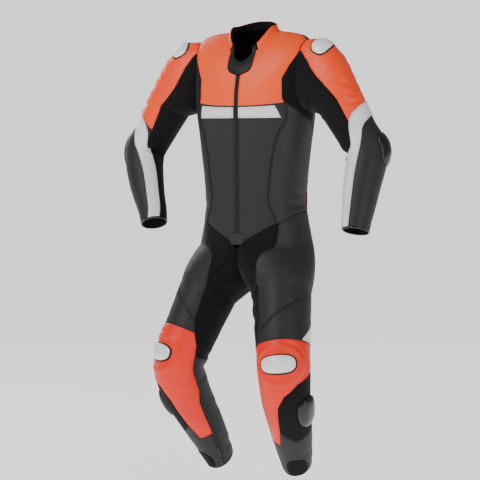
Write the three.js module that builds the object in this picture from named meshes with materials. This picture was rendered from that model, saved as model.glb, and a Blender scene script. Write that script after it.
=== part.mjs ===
// One-piece leather race suit, filled out as if worn, standing with bent arms and knees.
// Millimetres. +Z up, the front faces -Y, the wearer's left is +X. z = 0 at the shoulder line.
import * as THREE from "three";
import { mergeVertices } from "three/addons/utils/BufferGeometryUtils.js";

// Driving dimensions
const LEATHER = 2.2; // wall of leather panels
const STRETCH = 1.6; // wall of knitted stretch panels
const OVERLAY = 1.4; // wall of pieces sewn on top
const SEAM = 0.17; // half of the space between two panels
const LIFT = 0.35; // space under a piece that lies on a panel
const SQUARE = 0.87; // squareness of the body sections
const ARM_SQUARE = 0.6; // squareness of the armhole, front to back

const deg = Math.PI / 180;
const sinD = (a) => Math.sin(a * deg);
const cosD = (a) => Math.cos(a * deg);

// Body sections from collar to hip.
// columns: half width, front y, side y, back y, front z, side z, back z
const BODY = [
  [75, -95, -20, 45, 26, 108, 127], // 0 collar top
  [86, -98, -20, 52, 8, 90, 100], // 1 collar seam
  [135, -112, -18, 78, -18, 84, 84],
  [180, -122, -16, 98, -45, 70, 58],
  [203, -130, -14, 110, -75, 36, 20],
  [207, -136, -12, 117, -105, -25, -35],
  [206, -139, -10, 120, -135, -95, -95],
  [203, -139, -8, 120, -172, -165, -165], // 7 underarm
  [196, -138, -6, 117, -227, -227, -227],
  [180, -137, -4, 110, -340, -340, -340],
  [170, -135, 0, 108, -450, -450, -450], // 10 waist
  [176, -134, 0, 115, -520, -520, -520],
  [192, -132, 0, 125, -600, -600, -600], // 12 hip
];

// Arm sections from shoulder to cuff, for the wearer's left, and the right one mirrored.
// columns: centre x, y, z, radius out, radius front
const UPPER_ARM = [
  [250, -28, -46, 76, 74],
  [316, -28, -143, 74, 72],
  [372, -28, -232, 66, 66],
];
const ARM = {
  left: [
    ...UPPER_ARM,
    [412, -30, -300, 67, 64],
    [417, -72, -400, 58, 58],
    [418, -108, -500, 47, 48],
    [419, -122, -542, 42, 44],
  ],
  right: [
    ...UPPER_ARM,
    [412, -32, -300, 67, 64],
    [382, -72, -395, 58, 58],
    [337, -106, -490, 47, 48],
    [320, -121, -532, 42, 44],
  ],
};

// Leg sections from hip joint to ankle.
// columns: centre x, y, z, radius out, radius front
const LEG = [
  [90, -10, -585, 96, 100],
  [136, -82, -755, 95, 96],
  [163, -125, -855, 89, 90],
  [184, -158, -937, 85, 86],
  [193, -167, -1003, 83, 84], // 4 knee
  [184, -138, -1080, 77, 79],
  [165, -66, -1190, 66, 66],
  [151, -12, -1275, 54, 54],
  [145, 10, -1315, 46, 47], // 8 hem
];

const add = (a, b, k = 1) => a.map((x, i) => x + k * b[i]);
const sub = (a, b) => a.map((x, i) => x - b[i]);
const len = (a) => Math.hypot(...a);
const unit = (a) => a.map((x) => x / (len(a) || 1));
const cross = (a, b) => [
  a[1] * b[2] - a[2] * b[1],
  a[2] * b[0] - a[0] * b[2],
  a[0] * b[1] - a[1] * b[0],
];
const dot = (a, b) => a[0] * b[0] + a[1] * b[1] + a[2] * b[2];
const mix = (a, b, w) => a.map((x, i) => x + (b[i] - x) * w);
const smooth = (w) => w * w * (3 - 2 * w);
const clamp = (x, lo, hi) => Math.min(Math.max(x, lo), hi);

// Smooth curve through the rows of a table.
function along(table, v) {
  const n = table.length - 1;
  const x = clamp(v, 0, n);
  const i = Math.min(Math.floor(x), n - 1);
  const f = x - i;
  const p0 = table[Math.max(i - 1, 0)];
  const p1 = table[i];
  const p2 = table[i + 1];
  const p3 = table[Math.min(i + 2, n)];
  return p1.map((_, k) => {
    const m1 = (p2[k] - p0[k]) / 2;
    const m2 = (p3[k] - p1[k]) / 2;
    const a = 2 * p1[k] - 2 * p2[k] + m1 + m2;
    const b = 3 * p2[k] - 3 * p1[k] - 2 * m1 - m2;
    const r = ((a * f + b) * f + m1) * f + p1[k];
    return r + (v < 0 ? m1 * v : 0) + (v > n ? m2 * (v - n) : 0);
  });
}

// Straight lines through rows of [position, value].
function line(rows, x) {
  if (x <= rows[0][0]) return rows[0][1];
  for (let i = 1; i < rows.length; i++) {
    const [x0, y0] = rows[i - 1];
    const [x1, y1] = rows[i];
    if (x <= x1) return y0 + ((y1 - y0) * (x - x0)) / (x1 - x0);
  }
  return rows[rows.length - 1][1];
}

// Body surface. t degrees from the front middle round the wearer's left, v the section.
function body(t, v) {
  const a = (((t % 360) + 540) % 360) - 180;
  const [half, yf, ys, yb, zf, zs, zb] = along(BODY, v);
  const s = sinD(Math.abs(a));
  const c = cosD(a);
  const w = Math.pow(Math.abs(c), SQUARE);
  const q = Math.pow(Math.abs(c), 1.7);
  return [
    Math.sign(a) * half * Math.pow(Math.max(s, 0), SQUARE),
    ys + ((c > 0 ? yf : yb) - ys) * w,
    zs + ((c > 0 ? zf : zb) - zs) * q,
  ];
}
// Angle on the body at which a section is x wide.
function angleAt(x, v) {
  const half = along(BODY, v)[0];
  return Math.asin(Math.pow(clamp(x / half, 0, 1), 1 / SQUARE)) / deg;
}

// Armhole as a closed line on the body: q 0 top, 90 front, 180 under, 270 back.
const HOLE = { t: 90, v: 5.25, wide: 28, high: 1.75, tall: 0.85 };
const power = (x, k) => Math.sign(x) * Math.pow(Math.abs(x), k);
const holeT = (q) => HOLE.t - HOLE.wide * power(sinD(q), ARM_SQUARE);
const holeV = (q) => HOLE.v - HOLE.high * power(cosD(q), HOLE.tall);
const HOLE_STEP = 20;
const HOLE_LEVELS = [];
for (let q = 0; q <= 180; q += HOLE_STEP) HOLE_LEVELS.push(holeV(q));
const HOLE_FRONT = HOLE_LEVELS.map((v, i) => [v, holeT(i * HOLE_STEP)]);
const holeFront = (v) => line(HOLE_FRONT, v);
const holeBack = (v) => 180 - holeFront(v);

function tube(table, v) {
  const p = along(table, v);
  const d = unit(sub(along(table, v + 0.35), along(table, v - 0.35)).slice(0, 3));
  const front = unit(add([0, -1, 0], d, d[1]));
  let out = cross(front, d);
  if (out[0] < 0) out = out.map((x) => -x);
  return { centre: p.slice(0, 3), out, front, ro: p[3], rf: p[4] };
}
function onTube(table, q, v) {
  const k = tube(table, v);
  return add(add(k.centre, k.out, k.ro * cosD(q)), k.front, k.rf * sinD(q));
}

// Sleeve surface. q 0 outside, 90 front, 180 inside, 270 back; v 0 armhole, 3 elbow, 6 cuff.
function sleeve(side, q, v) {
  const table = side > 0 ? ARM.left : ARM.right;
  let p;
  if (v >= 1) p = onTube(table, q, v);
  else {
    const w = Math.max(v, 0);
    p = mix(body(holeT(q), holeV(q)), onTube(table, q, 1), 0.8 * w + 0.2 * w * w);
    const bulge = 47 * Math.sin(Math.PI * Math.pow(w, 0.75));
    p = add(p, [0.694, 0, 0.72], bulge * Math.pow(Math.max(cosD(q), 0), 1.2));
    p = add(p, [0, -1, 0], 9 * Math.sin(Math.PI * w) * sinD(q));
  }
  return [p[0] * side, p[1], p[2]];
}

// Lower edge of the upper body, as a section number over the angle round the body.
const WAIST_LINE = [
  [0, 12],
  [7.5, 11.64],
  [15, 11.5],
  [22.5, 11.38],
  [30, 11.24],
  [45, 11.06],
  [60, 10.85],
  [75, 10.62],
  [90, 10.5],
  [105, 10.5],
  [140, 10.8],
  [180, 11],
];
const waistLine = (t) => line(WAIST_LINE, t > 180 ? 360 - t : Math.abs(t));

// Rise seam between the legs, from the front middle under to the back middle.
const RISE = { front: 105, back: 255, drop: 126 };
function rise(k) {
  const y = -3.5 - 128.5 * power(cosD(180 * k), 0.8);
  return [0, y, -600 - RISE.drop * Math.pow(sinD(180 * k), 0.75)];
}

// Leg surface. q 0 outside, 90 front, 180 inside, 270 back; v 0 waist line, 0.1 hip, 4 knee, 8 hem.
function leg(side, q0, v) {
  const q = ((q0 % 360) + 360) % 360;
  const inRise = q > RISE.front && q < RISE.back;
  const t = 90 - ((q <= RISE.front ? q : q - 360) * 90) / RISE.front;
  let p;
  if (v >= 1) p = onTube(LEG, q, v);
  else {
    const k = clamp((q - RISE.front) / (RISE.back - RISE.front), 0, 1);
    const low = waistLine(t);
    const hip = inRise ? rise(k) : body(t, low + (12 - low) * clamp(v / 0.1, 0, 1));
    const w = clamp((v - 0.1) / 0.9, 0, 1);
    p = mix(hip, onTube(LEG, q, 1), 0.85 * w + 0.15 * smooth(w));
    const swell = inRise ? 0 : 9 * Math.sin(Math.PI * w);
    p = add(p, unit([0.8 * cosD(q) + 0.001, -sinD(q), 0]), swell);
  }
  return [p[0] * side, p[1], p[2]];
}

const SURFACE = {
  body: (side, u, v) => body(u, v),
  sleeve,
  leg,
};
const LEVELS = {
  body: [0, 0.5, 1, 1.6, 2.3, 2.7, 3, 3.3, ...HOLE_LEVELS, 7.6, 8.2, 8.8, 9.4, 10, 10.5, 11, 11.5, 12],
  sleeve: [0, 0.1, 0.3, 0.5, 0.8, 1.1, 1.8, 2.2, 2.6, 3, 3.4, 4, 5, 6],
  leg: [0, 0.1, 0.25, 0.45, 0.7, 1, 1.5, 2, 2.4, 2.7, 3, 3.2, 3.5, 3.8, 4.1, 4.4, 4.8, 5.2, 5.6, 6.12, 6.8, 7.5, 8],
};

function frameAt(kind, side, u, v) {
  const f = SURFACE[kind];
  const du = sub(f(side, u + 0.5, v), f(side, u - 0.5, v));
  const dv = sub(f(side, u, v + 0.02), f(side, u, v - 0.02));
  return { du, dv: dv.map((x) => x / 0.04) };
}
// Which way round a surface's own directions turn, so that offsets go outward.
function turnOf(kind, side) {
  const u = 90;
  const v = kind === "body" ? 8 : 4;
  const { du, dv } = frameAt(kind, side, u, v);
  const p = SURFACE[kind](side, u, v);
  const away = kind === "body" ? [p[0], 0, 0] : [0, -1, 0];
  return dot(cross(du, dv), away) > 0 ? 1 : -1;
}

const group = new THREE.Group();
group.name = "race_suit";

const LOOK = {
  orange: ["#ff7846", 0.48],
  orangeSleeve: ["#ff6432", 0.46],
  orangeLeg: ["#ff4a2a", 0.45],
  leather: ["#3d3e40", 0.5],
  leatherSoft: ["#4a4b4d", 0.52],
  stretch: ["#101011", 0.85],
  white: ["#ececea", 0.42],
  hardWhite: ["#f4f4f2", 0.25],
  hardBlack: ["#161617", 0.28],
  zip: ["#0c0c0d", 0.5],
  red: ["#e03a35", 0.6],
};

function mesh(name, positions, faces, look) {
  const flat = [];
  const key = (p) => p.map((x) => Math.round(x * 500)).join(",");
  for (const face of faces) {
    const pts = face.map((i) => positions[i]);
    if (new Set(pts.map(key)).size < 3) continue;
    flat.push(...pts.flat());
  }
  let geometry = new THREE.BufferGeometry();
  geometry.setAttribute("position", new THREE.Float32BufferAttribute(flat, 3));
  geometry = mergeVertices(geometry, 2e-3);
  geometry.computeVertexNormals();
  const [color, roughness] = LOOK[look];
  const material = new THREE.MeshStandardMaterial({ color, roughness, metalness: 0 });
  const made = new THREE.Mesh(geometry, material);
  made.name = name;
  group.add(made);
}

// A closed wall between an outer and an inner grid of points.
function wall(name, outer, inner, look, flip) {
  const rows = outer.length;
  const cols = outer[0].length;
  const positions = [...outer.flat(), ...inner.flat()];
  const half = rows * cols;
  const faces = [];
  const quad = (a, b, c, d) => {
    const split = len(sub(positions[a], positions[c])) <= len(sub(positions[b], positions[d]));
    faces.push(...(split ? [[a, b, c], [a, c, d]] : [[a, b, d], [b, c, d]]));
  };
  const at = (j, i) => j * cols + i;
  for (let j = 0; j < rows - 1; j++) {
    for (let i = 0; i < cols - 1; i++) {
      quad(at(j, i), at(j, i + 1), at(j + 1, i + 1), at(j + 1, i));
      quad(half + at(j, i), half + at(j + 1, i), half + at(j + 1, i + 1), half + at(j, i + 1));
    }
  }
  for (let i = 0; i < cols - 1; i++) {
    quad(at(0, i + 1), at(0, i), half + at(0, i), half + at(0, i + 1));
    const b = rows - 1;
    quad(at(b, i), at(b, i + 1), half + at(b, i + 1), half + at(b, i));
  }
  for (let j = 0; j < rows - 1; j++) {
    quad(at(j, 0), at(j + 1, 0), half + at(j + 1, 0), half + at(j, 0));
    const r = cols - 1;
    quad(at(j + 1, r), at(j, r), half + at(j, r), half + at(j + 1, r));
  }
  mesh(name, positions, flip ? faces.map((f) => [f[0], f[2], f[1]]) : faces, look);
}

// A panel of the suit between two side seams left(v), right(v) and two end lines top(u), bottom(u).
// opt: cols, thick, lift, raise(u, v), end gaps, levels
function panel(name, kind, side, look, left, right, top, bottom, opt = {}) {
  const even = Array.from({ length: (opt.cols || 6) + 1 }, (_, i) => i / (opt.cols || 6));
  const share = (u, edge) => {
    const v = edge(u);
    return clamp((u - left(v)) / (right(v) - left(v)), 0, 1);
  };
  const cells = opt.at ? [0, ...opt.at.map((u) => share(u, opt.edge)), 1] : even;
  const cols = cells.length - 1;
  const { thick = LEATHER, lift = 0, raise, gapTop = SEAM, gapBottom = SEAM, gapSide = SEAM } = opt;
  const f = SURFACE[kind];
  const turn = turnOf(kind, side);
  const ends = [];
  for (let i = 0; i <= cols; i++) {
    const p = cells[i];
    const solve = (edge) => {
      let v = edge(0.5 * (left(0) + right(0)));
      for (let k = 0; k < 6; k++) v = edge(left(v) + (right(v) - left(v)) * p);
      return v;
    };
    ends.push([solve(top), solve(bottom)]);
  }
  const lo = Math.min(...ends.map((e) => e[0]));
  const hi = Math.max(...ends.map((e) => e[1]));
  const own = opt.levels || LEVELS[kind];
  const levels = [lo, ...own.filter((v) => v > lo + 0.02 && v < hi - 0.02), hi];
  const outer = [];
  const inner = [];
  for (let j = 0; j < levels.length; j++) {
    const rowOut = [];
    const rowIn = [];
    for (let i = 0; i <= cols; i++) {
      const p = cells[i];
      const [t0, b0] = ends[i];
      let v = clamp(levels[j], t0, b0);
      if (opt.stretchRows) v = t0 + ((b0 - t0) * j) / (levels.length - 1);
      const mid = frameAt(kind, side, left(v) + (right(v) - left(v)) * p, v);
      if (v === t0) v += gapTop / len(mid.dv);
      else if (v === b0) v -= gapBottom / len(mid.dv);
      const slope = (edge) => ((edge(v + 0.05) - edge(v - 0.05)) / 0.1) * len(mid.du);
      const lean = (edge) => Math.min(Math.hypot(1, slope(edge) / len(mid.dv)), 3);
      let u0 = left(v) + (gapSide * lean(left)) / len(mid.du);
      let u1 = right(v) - (gapSide * lean(right)) / len(mid.du);
      if (opt.round) {
        u0 = left(v);
        u1 = right(v);
      }
      if (u1 < u0) u0 = u1 = (u0 + u1) / 2;
      const u = u0 + (u1 - u0) * p;
      const { du, dv } = frameAt(kind, side, u, v);
      const n = unit(cross(du, dv)).map((x) => x * turn);
      const base = f(side, u, v);
      const up = lift + (raise ? raise(u, v, p) : 0);
      const a = add(base, n, up);
      const b = add(base, n, opt.solidBase ? lift : lift - thick);
      if (kind === "leg") {
        for (const q of [a, b]) q[0] = side * Math.max(side * q[0], SEAM);
      }
      rowOut.push(a);
      rowIn.push(b);
    }
    outer.push(rowOut);
    inner.push(rowIn);
  }
  wall(name, outer, inner, look, turn < 0);
}

// A piece that lies on a panel: points of the same surface, moved out, inside a rounded outline.
// shape(a) gives u, v for a turn a round the outline; dome is the height in the middle.
function overlay(name, kind, side, look, centre, shape, opt = {}) {
  const { rings = 3, around = 16, thick = OVERLAY, lift = LIFT, dome = () => 0 } = opt;
  const f = SURFACE[kind];
  const turn = turnOf(kind, side);
  const outer = [];
  const inner = [];
  for (let j = 0; j <= rings; j++) {
    const rowOut = [];
    const rowIn = [];
    for (let i = 0; i <= around; i++) {
      const edge = shape((360 * (i % around)) / around);
      const r = j / rings;
      const [u, v] = mix(centre, edge, r);
      const { du, dv } = frameAt(kind, side, u, v);
      const n = unit(cross(du, dv)).map((x) => x * turn);
      const base = f(side, u, v);
      rowOut.push(add(base, n, lift + thick + dome(r)));
      rowIn.push(add(base, n, lift + (opt.hollow ? dome(r) : 0)));
    }
    outer.push(rowOut);
    inner.push(rowIn);
  }
  const positions = [...outer.flat(), ...inner.flat()];
  const cols = around + 1;
  const half = (rings + 1) * cols;
  const at = (j, i) => j * cols + i;
  const faces = [];
  for (let j = 0; j < rings; j++) {
    for (let i = 0; i < around; i++) {
      faces.push([at(j, i), at(j + 1, i), at(j + 1, i + 1)]);
      faces.push([at(j, i), at(j + 1, i + 1), at(j, i + 1)]);
      faces.push([half + at(j, i), half + at(j + 1, i + 1), half + at(j + 1, i)]);
      faces.push([half + at(j, i), half + at(j, i + 1), half + at(j + 1, i + 1)]);
    }
  }
  for (let i = 0; i < around; i++) {
    faces.push([at(rings, i), half + at(rings, i), half + at(rings, i + 1)]);
    faces.push([at(rings, i), half + at(rings, i + 1), at(rings, i + 1)]);
  }
  const [u, v] = centre;
  const { du, dv } = frameAt(kind, side, u, v);
  const n = unit(cross(du, dv)).map((x) => x * turn);
  const p = (a) => f(side, ...mix(centre, shape(a), 0.5));
  const turned = dot(cross(sub(p(0), f(side, u, v)), sub(p(90), f(side, u, v))), n) < 0;
  mesh(name, positions, turned ? faces.map((q) => [q[0], q[2], q[1]]) : faces, look);
}
const oval = (u, v, ru, rv, k = 1) => (a) => [
  u + ru * power(cosD(a), k),
  v + rv * power(sinD(a), k),
];
const cap = (height, from = 0) => (r) => height * (1 - Math.pow(clamp((r - from) / (1 - from), 0, 1), 2));
const ridges = (height, count, from, to) => (x) => {
  if (x < from || x > to) return 0;
  const w = (x - from) / (to - from);
  return height * Math.pow(Math.sin(Math.PI * count * w), 2);
};
const fixed = (x) => () => x;

// Seams on the body, as angle over section
const BIB_HALF = [
  [1, 46],
  [1.6, 46],
  [2.3, 45],
  [2.7, 42],
  [3, 34],
  [3.3, 7.5],
];
const ZIP_HALF = 7;
const bibEdge = (v) => angleAt(line(BIB_HALF, v) + (v > 3.3 ? 0.3 : 0), v);
const zipEdge = (v) => angleAt(ZIP_HALF, v);
const CHEST_SEAM = [
  [HOLE_LEVELS[2], holeT(2 * HOLE_STEP)],
  [HOLE_LEVELS[3], 52],
  [HOLE_LEVELS[4], 43],
  [HOLE_LEVELS[6], 44],
  [6.5, 47],
  [HOLE_LEVELS[9], 66],
  [7.6, 92],
];
const chestSeam = (v) => line(CHEST_SEAM, v);
const FRONT_SEAM = [
  [6.5, 47],
  [7, 50],
  [7.6, 50],
  [8.2, 41],
  [8.8, 37],
  [10, 34],
  [10.5, 39],
  [11, 43],
  [11.5, 45],
];
const frontSeam = (v) => line(FRONT_SEAM, v);
const SIDE_SEAM = [
  [7, 92],
  [7.6, 92],
  [8.2, 102],
  [9.4, 114],
  [11, 117],
];
const sideSeam = (v) => line(SIDE_SEAM, v);
const shoulderEdge = (v) => (v <= HOLE_LEVELS[0] ? 90 : v <= HOLE_LEVELS[2] ? holeFront(v) : chestSeam(v));
const frontHole = (v) => (v <= 7 ? holeFront(v) : sideSeam(v));
const yokeBack = (v) => (v <= HOLE_LEVELS[0] ? 90 : v <= 7 ? holeBack(v) : sideSeam(v));
const chestUnder = (u) => {
  const rows = CHEST_SEAM.slice(4).map(([v, t]) => [t, v]);
  return line(rows, u);
};

// Upper body
for (const [side, tag] of [
  [1, "left"],
  [-1, "right"],
]) {
  const across = (edge) => (v) => side * edge(v);
  const pair = (a, b) => (side > 0 ? [across(a), across(b)] : [across(b), across(a)]);
  const inside = (v) => (v < 3.3 ? bibEdge(v) : zipEdge(v));
  panel(`yoke_front_${tag}`, "body", 1, "orange", ...pair(inside, shoulderEdge), fixed(1), fixed(6.5), {
    cols: 5,
  });
  panel(
    `chest_stretch_${tag}`,
    "body",
    1,
    "stretch",
    ...pair(chestSeam, frontHole),
    fixed(HOLE_LEVELS[2]),
    fixed(7.6),
    { cols: 3, thick: STRETCH },
  );
  panel(
    `front_${tag}`,
    "body",
    1,
    "leather",
    ...pair(zipEdge, frontSeam),
    fixed(6.5),
    (u) => waistLine(u),
    { cols: 6 },
  );
  panel(
    `side_${tag}`,
    "body",
    1,
    "leather",
    ...pair(frontSeam, sideSeam),
    (u) => chestUnder(Math.abs(u)),
    (u) => waistLine(u),
    { cols: 5, gapTop: 0.6 },
  );
  const BAND = side > 0 ? [36, 44] : [40, 45];
  const bandEnd = (v) => BAND[0] + ((BAND[1] - BAND[0]) * (v - 6.6)) / 0.8;
  panel(
    `chest_band_${tag}`,
    "body",
    1,
    "white",
    ...pair((v) => zipEdge(v) + 0.4, bandEnd),
    fixed(6.62),
    fixed(7.42),
    { cols: 6, thick: OVERLAY, lift: OVERLAY + 0.8, levels: [7] },
  );
}
const around = (edge) => [(v) => edge(v), (v) => 360 - edge(v)];
panel("back_yoke", "body", 1, "leather", ...around(yokeBack), fixed(1), fixed(HOLE_LEVELS[4]), {
  cols: 8,
});
panel(
  "back_main",
  "body",
  1,
  "leather",
  ...around(yokeBack),
  fixed(HOLE_LEVELS[4]),
  fixed(9.4),
  { cols: 8 },
);
panel("back_waist", "body", 1, "stretch", ...around(sideSeam), fixed(9.4), (u) => waistLine(u), {
  cols: 8,
  thick: STRETCH,
  levels: Array.from({ length: 12 }, (_, i) => 9.4 + 0.1 * (i + 1)),
  raise: (u, v) => 2.2 * (Math.round((v - 9.4) * 10) % 2) * (v < 10.45 ? 1 : 0),
});
const NECK = [44, 55.5, 67, 78.5, 90, 112.5, 135, 157.5, 180];
for (const t of [157.5, 135, 112.5, 90, 78.5, 67, 55.5, 44]) NECK.push(360 - t);
panel("collar", "body", 1, "orange", fixed(34.5), fixed(325.5), fixed(0), fixed(1), {
  at: NECK,
  edge: fixed(1),
  gapBottom: 0.4,
  levels: [0.5],
});
panel("neck_lining", "body", 1, "stretch", fixed(35), fixed(325), fixed(0.06), fixed(0.97), {
  at: NECK,
  edge: fixed(1),
  thick: 1,
  lift: -LEATHER - LIFT,
  levels: [0.5],
});

// Black facing of the neck opening: two arms beside the collar and a rounded tongue below.
{
  const OUTER = [
    // columns: x, section
    [42, 0.02],
    [46, 0.5],
    [46, 1],
    [46, 1.6],
    [45, 2.3],
    [42, 2.7],
    [34, 3],
    [7.5, 3.29],
    [0, 3.3],
  ];
  const INNER = [
    [31, 0.02],
    [33, 0.5],
    [33, 0.95],
    [28, 1.2],
    [21, 1.36],
    [13, 1.5],
    [8, 1.58],
    [3, 1.63],
    [0, 1.64],
  ];
  const cols = 3;
  const outer = [];
  const inner = [];
  const rows = [];
  for (let i = 0; i < OUTER.length; i++) rows.push([OUTER[i], INNER[i], 1]);
  for (let i = OUTER.length - 2; i >= 0; i--) rows.push([OUTER[i], INNER[i], -1]);
  for (const [o, n, s] of rows) {
    const rowOut = [];
    const rowIn = [];
    for (let i = 0; i <= cols; i++) {
      const [x, v] = mix(n, o, i / cols);
      const inset = o[0] > 0 ? 0.4 : 0;
      const t = s * angleAt(Math.max(x - inset, 0), v);
      const { du, dv } = frameAt("body", 1, t, v);
      const out = unit(cross(du, dv)).map((k) => k * turnOf("body", 1));
      rowOut.push(add(body(t, v), out, 0));
      rowIn.push(add(body(t, v), out, -LEATHER));
    }
    outer.push(rowOut);
    inner.push(rowIn);
  }
  wall("neck_facing", outer, inner, "leather", true);
}
panel(
  "front_zip",
  "body",
  1,
  "zip",
  (v) => -zipEdge(v),
  (v) => zipEdge(v),
  fixed(3.34),
  fixed(11.55),
  { cols: 2, thick: STRETCH, raise: (u) => (Math.abs(u) < 1 ? 0.8 : 0) },
);
overlay("zip_tab", "body", 1, "leather", [0, 11.55], (a) => {
  const wide = angleAt(27, 11.5) * power(cosD(a), 0.8);
  return [wide, 11.55 + (sinD(a) > 0 ? 0.36 : 0.14) * power(sinD(a), 0.9)];
}, { around: 16, rings: 2, lift: 0.9 });
overlay("side_label", "body", 1, "red", [108.5, 10.05], oval(108.5, 10.05, 4.2, 0.26, 0.25), {
  around: 12,
  rings: 1,
  thick: 1,
  lift: 0.4,
});

// Sleeves
const SLEEVE = {
  left: {
    front: [[0, 40], [0.1, 55], [0.3, 66], [0.5, 70], [1.8, 73]],
    middle: [[1.8, 73], [2.2, 78], [2.6, 90], [3, 105], [3.4, 113], [4, 119], [6, 123]],
    stripeIn: [[0, -75, 1.28], [1, -45, 1.27], [2, -14, 1.36], [3, 30, 1.5], [4, 62, 1.66], [5, 80, 1.95],
      [6, 104, 2.6], [7, 134, 3.3], [8, 142, 4.1], [9, 148, 5], [10, 150, 5.86]],
    stripeOut: [[0, -75, 1.7], [1, -45, 1.72], [2, -17, 1.8], [3, 18, 1.96], [4, 42, 2.12], [5, 58, 2.35],
      [6, 76, 2.8], [7, 91, 3.4], [8, 94, 4.1], [9, 96, 5], [10, 97, 5.86]],
  },
  right: {
    front: [[0, 40], [0.1, 58], [0.3, 72], [0.5, 82], [1.1, 100], [1.8, 106]],
    middle: [[1.8, 106], [2.6, 115], [3, 124], [4, 140], [5.4, 134], [6, 126]],
    stripeIn: [[0, -75, 1.32], [1, -45, 1.34], [2, -14, 1.42], [3, 30, 1.55], [4, 66, 1.7], [5, 96, 1.92],
      [6, 116, 2.4], [7, 146, 3.3], [8, 164, 4], [9, 162, 4.9], [10, 152, 5.86]],
    stripeOut: [[0, -75, 1.8], [1, -45, 1.84], [2, -14, 1.94], [3, 24, 2.1], [4, 52, 2.3], [5, 74, 2.6],
      [6, 90, 2.95], [7, 110, 3.45], [8, 121, 4.1], [9, 114, 4.9], [10, 100, 5.86]],
  },
};
const BACK_SEAM = -100;
for (const [side, tag] of [
  [1, "left"],
  [-1, "right"],
]) {
  const s = SLEEVE[tag];
  const front = (v) => (v <= 1.8 ? line(s.front, v) : line(s.middle, v));
  const middle = (v) => line(s.middle, v);
  const across = (u) => 1.5 + (0.3 * clamp((u - BACK_SEAM) / (front(1.8) - BACK_SEAM), 0, 1));
  const RIDGED = [0.5, 0.6, 0.7, 0.8, 0.9, 1, 1.1, 1.2, 1.3];
  const stretchRidge = (v) => (RIDGED.findIndex((x) => Math.abs(x - v) < 0.02) % 2 === 1 ? 3 : 0);
  panel(`sleeve_outer_${tag}`, "sleeve", side, "orangeSleeve", fixed(BACK_SEAM), front, fixed(0), across, {
    cols: 7,
    levels: [0.1, 0.3, ...RIDGED, 1.5],
    raise: (u, v) => stretchRidge(v) * clamp((u + 80) / 15, 0, 1) * clamp((58 - u) / 15, 0, 1),
  });
  panel(`sleeve_inner_${tag}`, "sleeve", side, "stretch", front, fixed(360 + BACK_SEAM), fixed(0), fixed(5.86), {
    cols: 11,
    gapSide: 0.8,
    thick: STRETCH,
  });
  panel(`forearm_outer_${tag}`, "sleeve", side, "leather", fixed(BACK_SEAM), middle, across, fixed(5.86), {
    cols: 7,
    gapTop: 0.3,
  });
  // White stripe laid over the seam between the upper sleeve, the forearm and the stretch side.
  const path = (rows, w) => along(rows.map((r) => [r[1], r[2]]), w);
  const outer = [];
  const inner = [];
  for (let j = 0; j <= 20; j++) {
    const rowOut = [];
    const rowIn = [];
    for (let i = 0; i <= 3; i++) {
      const [u, v] = mix(path(s.stripeOut, j / 2), path(s.stripeIn, j / 2), i / 3);
      const { du, dv } = frameAt("sleeve", side, u, v);
      const n = unit(cross(du, dv)).map((k) => k * turnOf("sleeve", side));
      const base = sleeve(side, u, v);
      rowOut.push(add(base, n, OVERLAY + 1.9));
      rowIn.push(add(base, n, 1.9));
    }
    outer.push(rowOut);
    inner.push(rowIn);
  }
  wall(`sleeve_stripe_${tag}`, outer, inner, "white", side < 0);
  panel(`cuff_${tag}`, "sleeve", side, "hardBlack", fixed(0), fixed(359.6), fixed(5.88), fixed(6.12), {
    cols: 18,
    thick: 4,
    levels: [6],
    raise: () => 1.2,
  });
  overlay(`shoulder_cup_${tag}`, "sleeve", side, "hardWhite", [17, 0.27], oval(17, 0.27, 24, 0.13, 0.75), {
    thick: 2.5,
    dome: cap(7),
    around: 14,
    rings: 2,
    lift: side > 0 ? 0.9 : 1.9,
  });
  overlay(`elbow_cap_${tag}`, "sleeve", side, "hardBlack", [-8, 3], oval(-8, 3, 34, 0.42, 0.8), {
    thick: 2.5,
    dome: cap(9),
    around: 14,
    rings: 2,
    lift: 1.2,
  });
}

// Legs
const INNER_FRONT = [
  [0, 50],
  [0.1, 60],
  [0.25, 80],
  [0.45, 89],
  [0.7, 97],
  [1, 110],
  [2, 116],
  [2.4, 128],
  [2.8, 145],
  [3.2, 150],
];
const INNER_BACK = [
  [0.1, 255],
  [1, 245],
  [2, 238],
  [3.2, 236],
];
const SHIN_OUT = [
  [3.8, -25],
  [4.1, 33],
  [4.4, 62],
  [4.8, 78],
  [5.6, 86],
  [6.12, 97],
];
const SHIN_IN = [
  [3.2, 150],
  [4.4, 156],
  [4.8, 156],
  [5.2, 144],
  [8, 121],
];
const CALF_IN = [
  [3.2, 150],
  [4.4, 156],
  [5.2, 156],
  [8, 133],
];
const SLIDER_BACK = [
  [3.8, -25],
  [4.1, -48],
  [4.4, -60],
];
const ANKLE_TOP = [
  [-60, 5.7],
  [-6, 5.86],
  [47, 5.94],
  [86, 5.6],
  [97, 6.12],
];
const KNEE_TOP = { left: 2.7, right: 2.4 };
const KNEE_CUP = { left: [74, 3.48], right: [54, 3.36] };
const OUT_SEAM = -25;
const hem = (u) => 8 + 0.45 * sinD(u);
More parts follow.
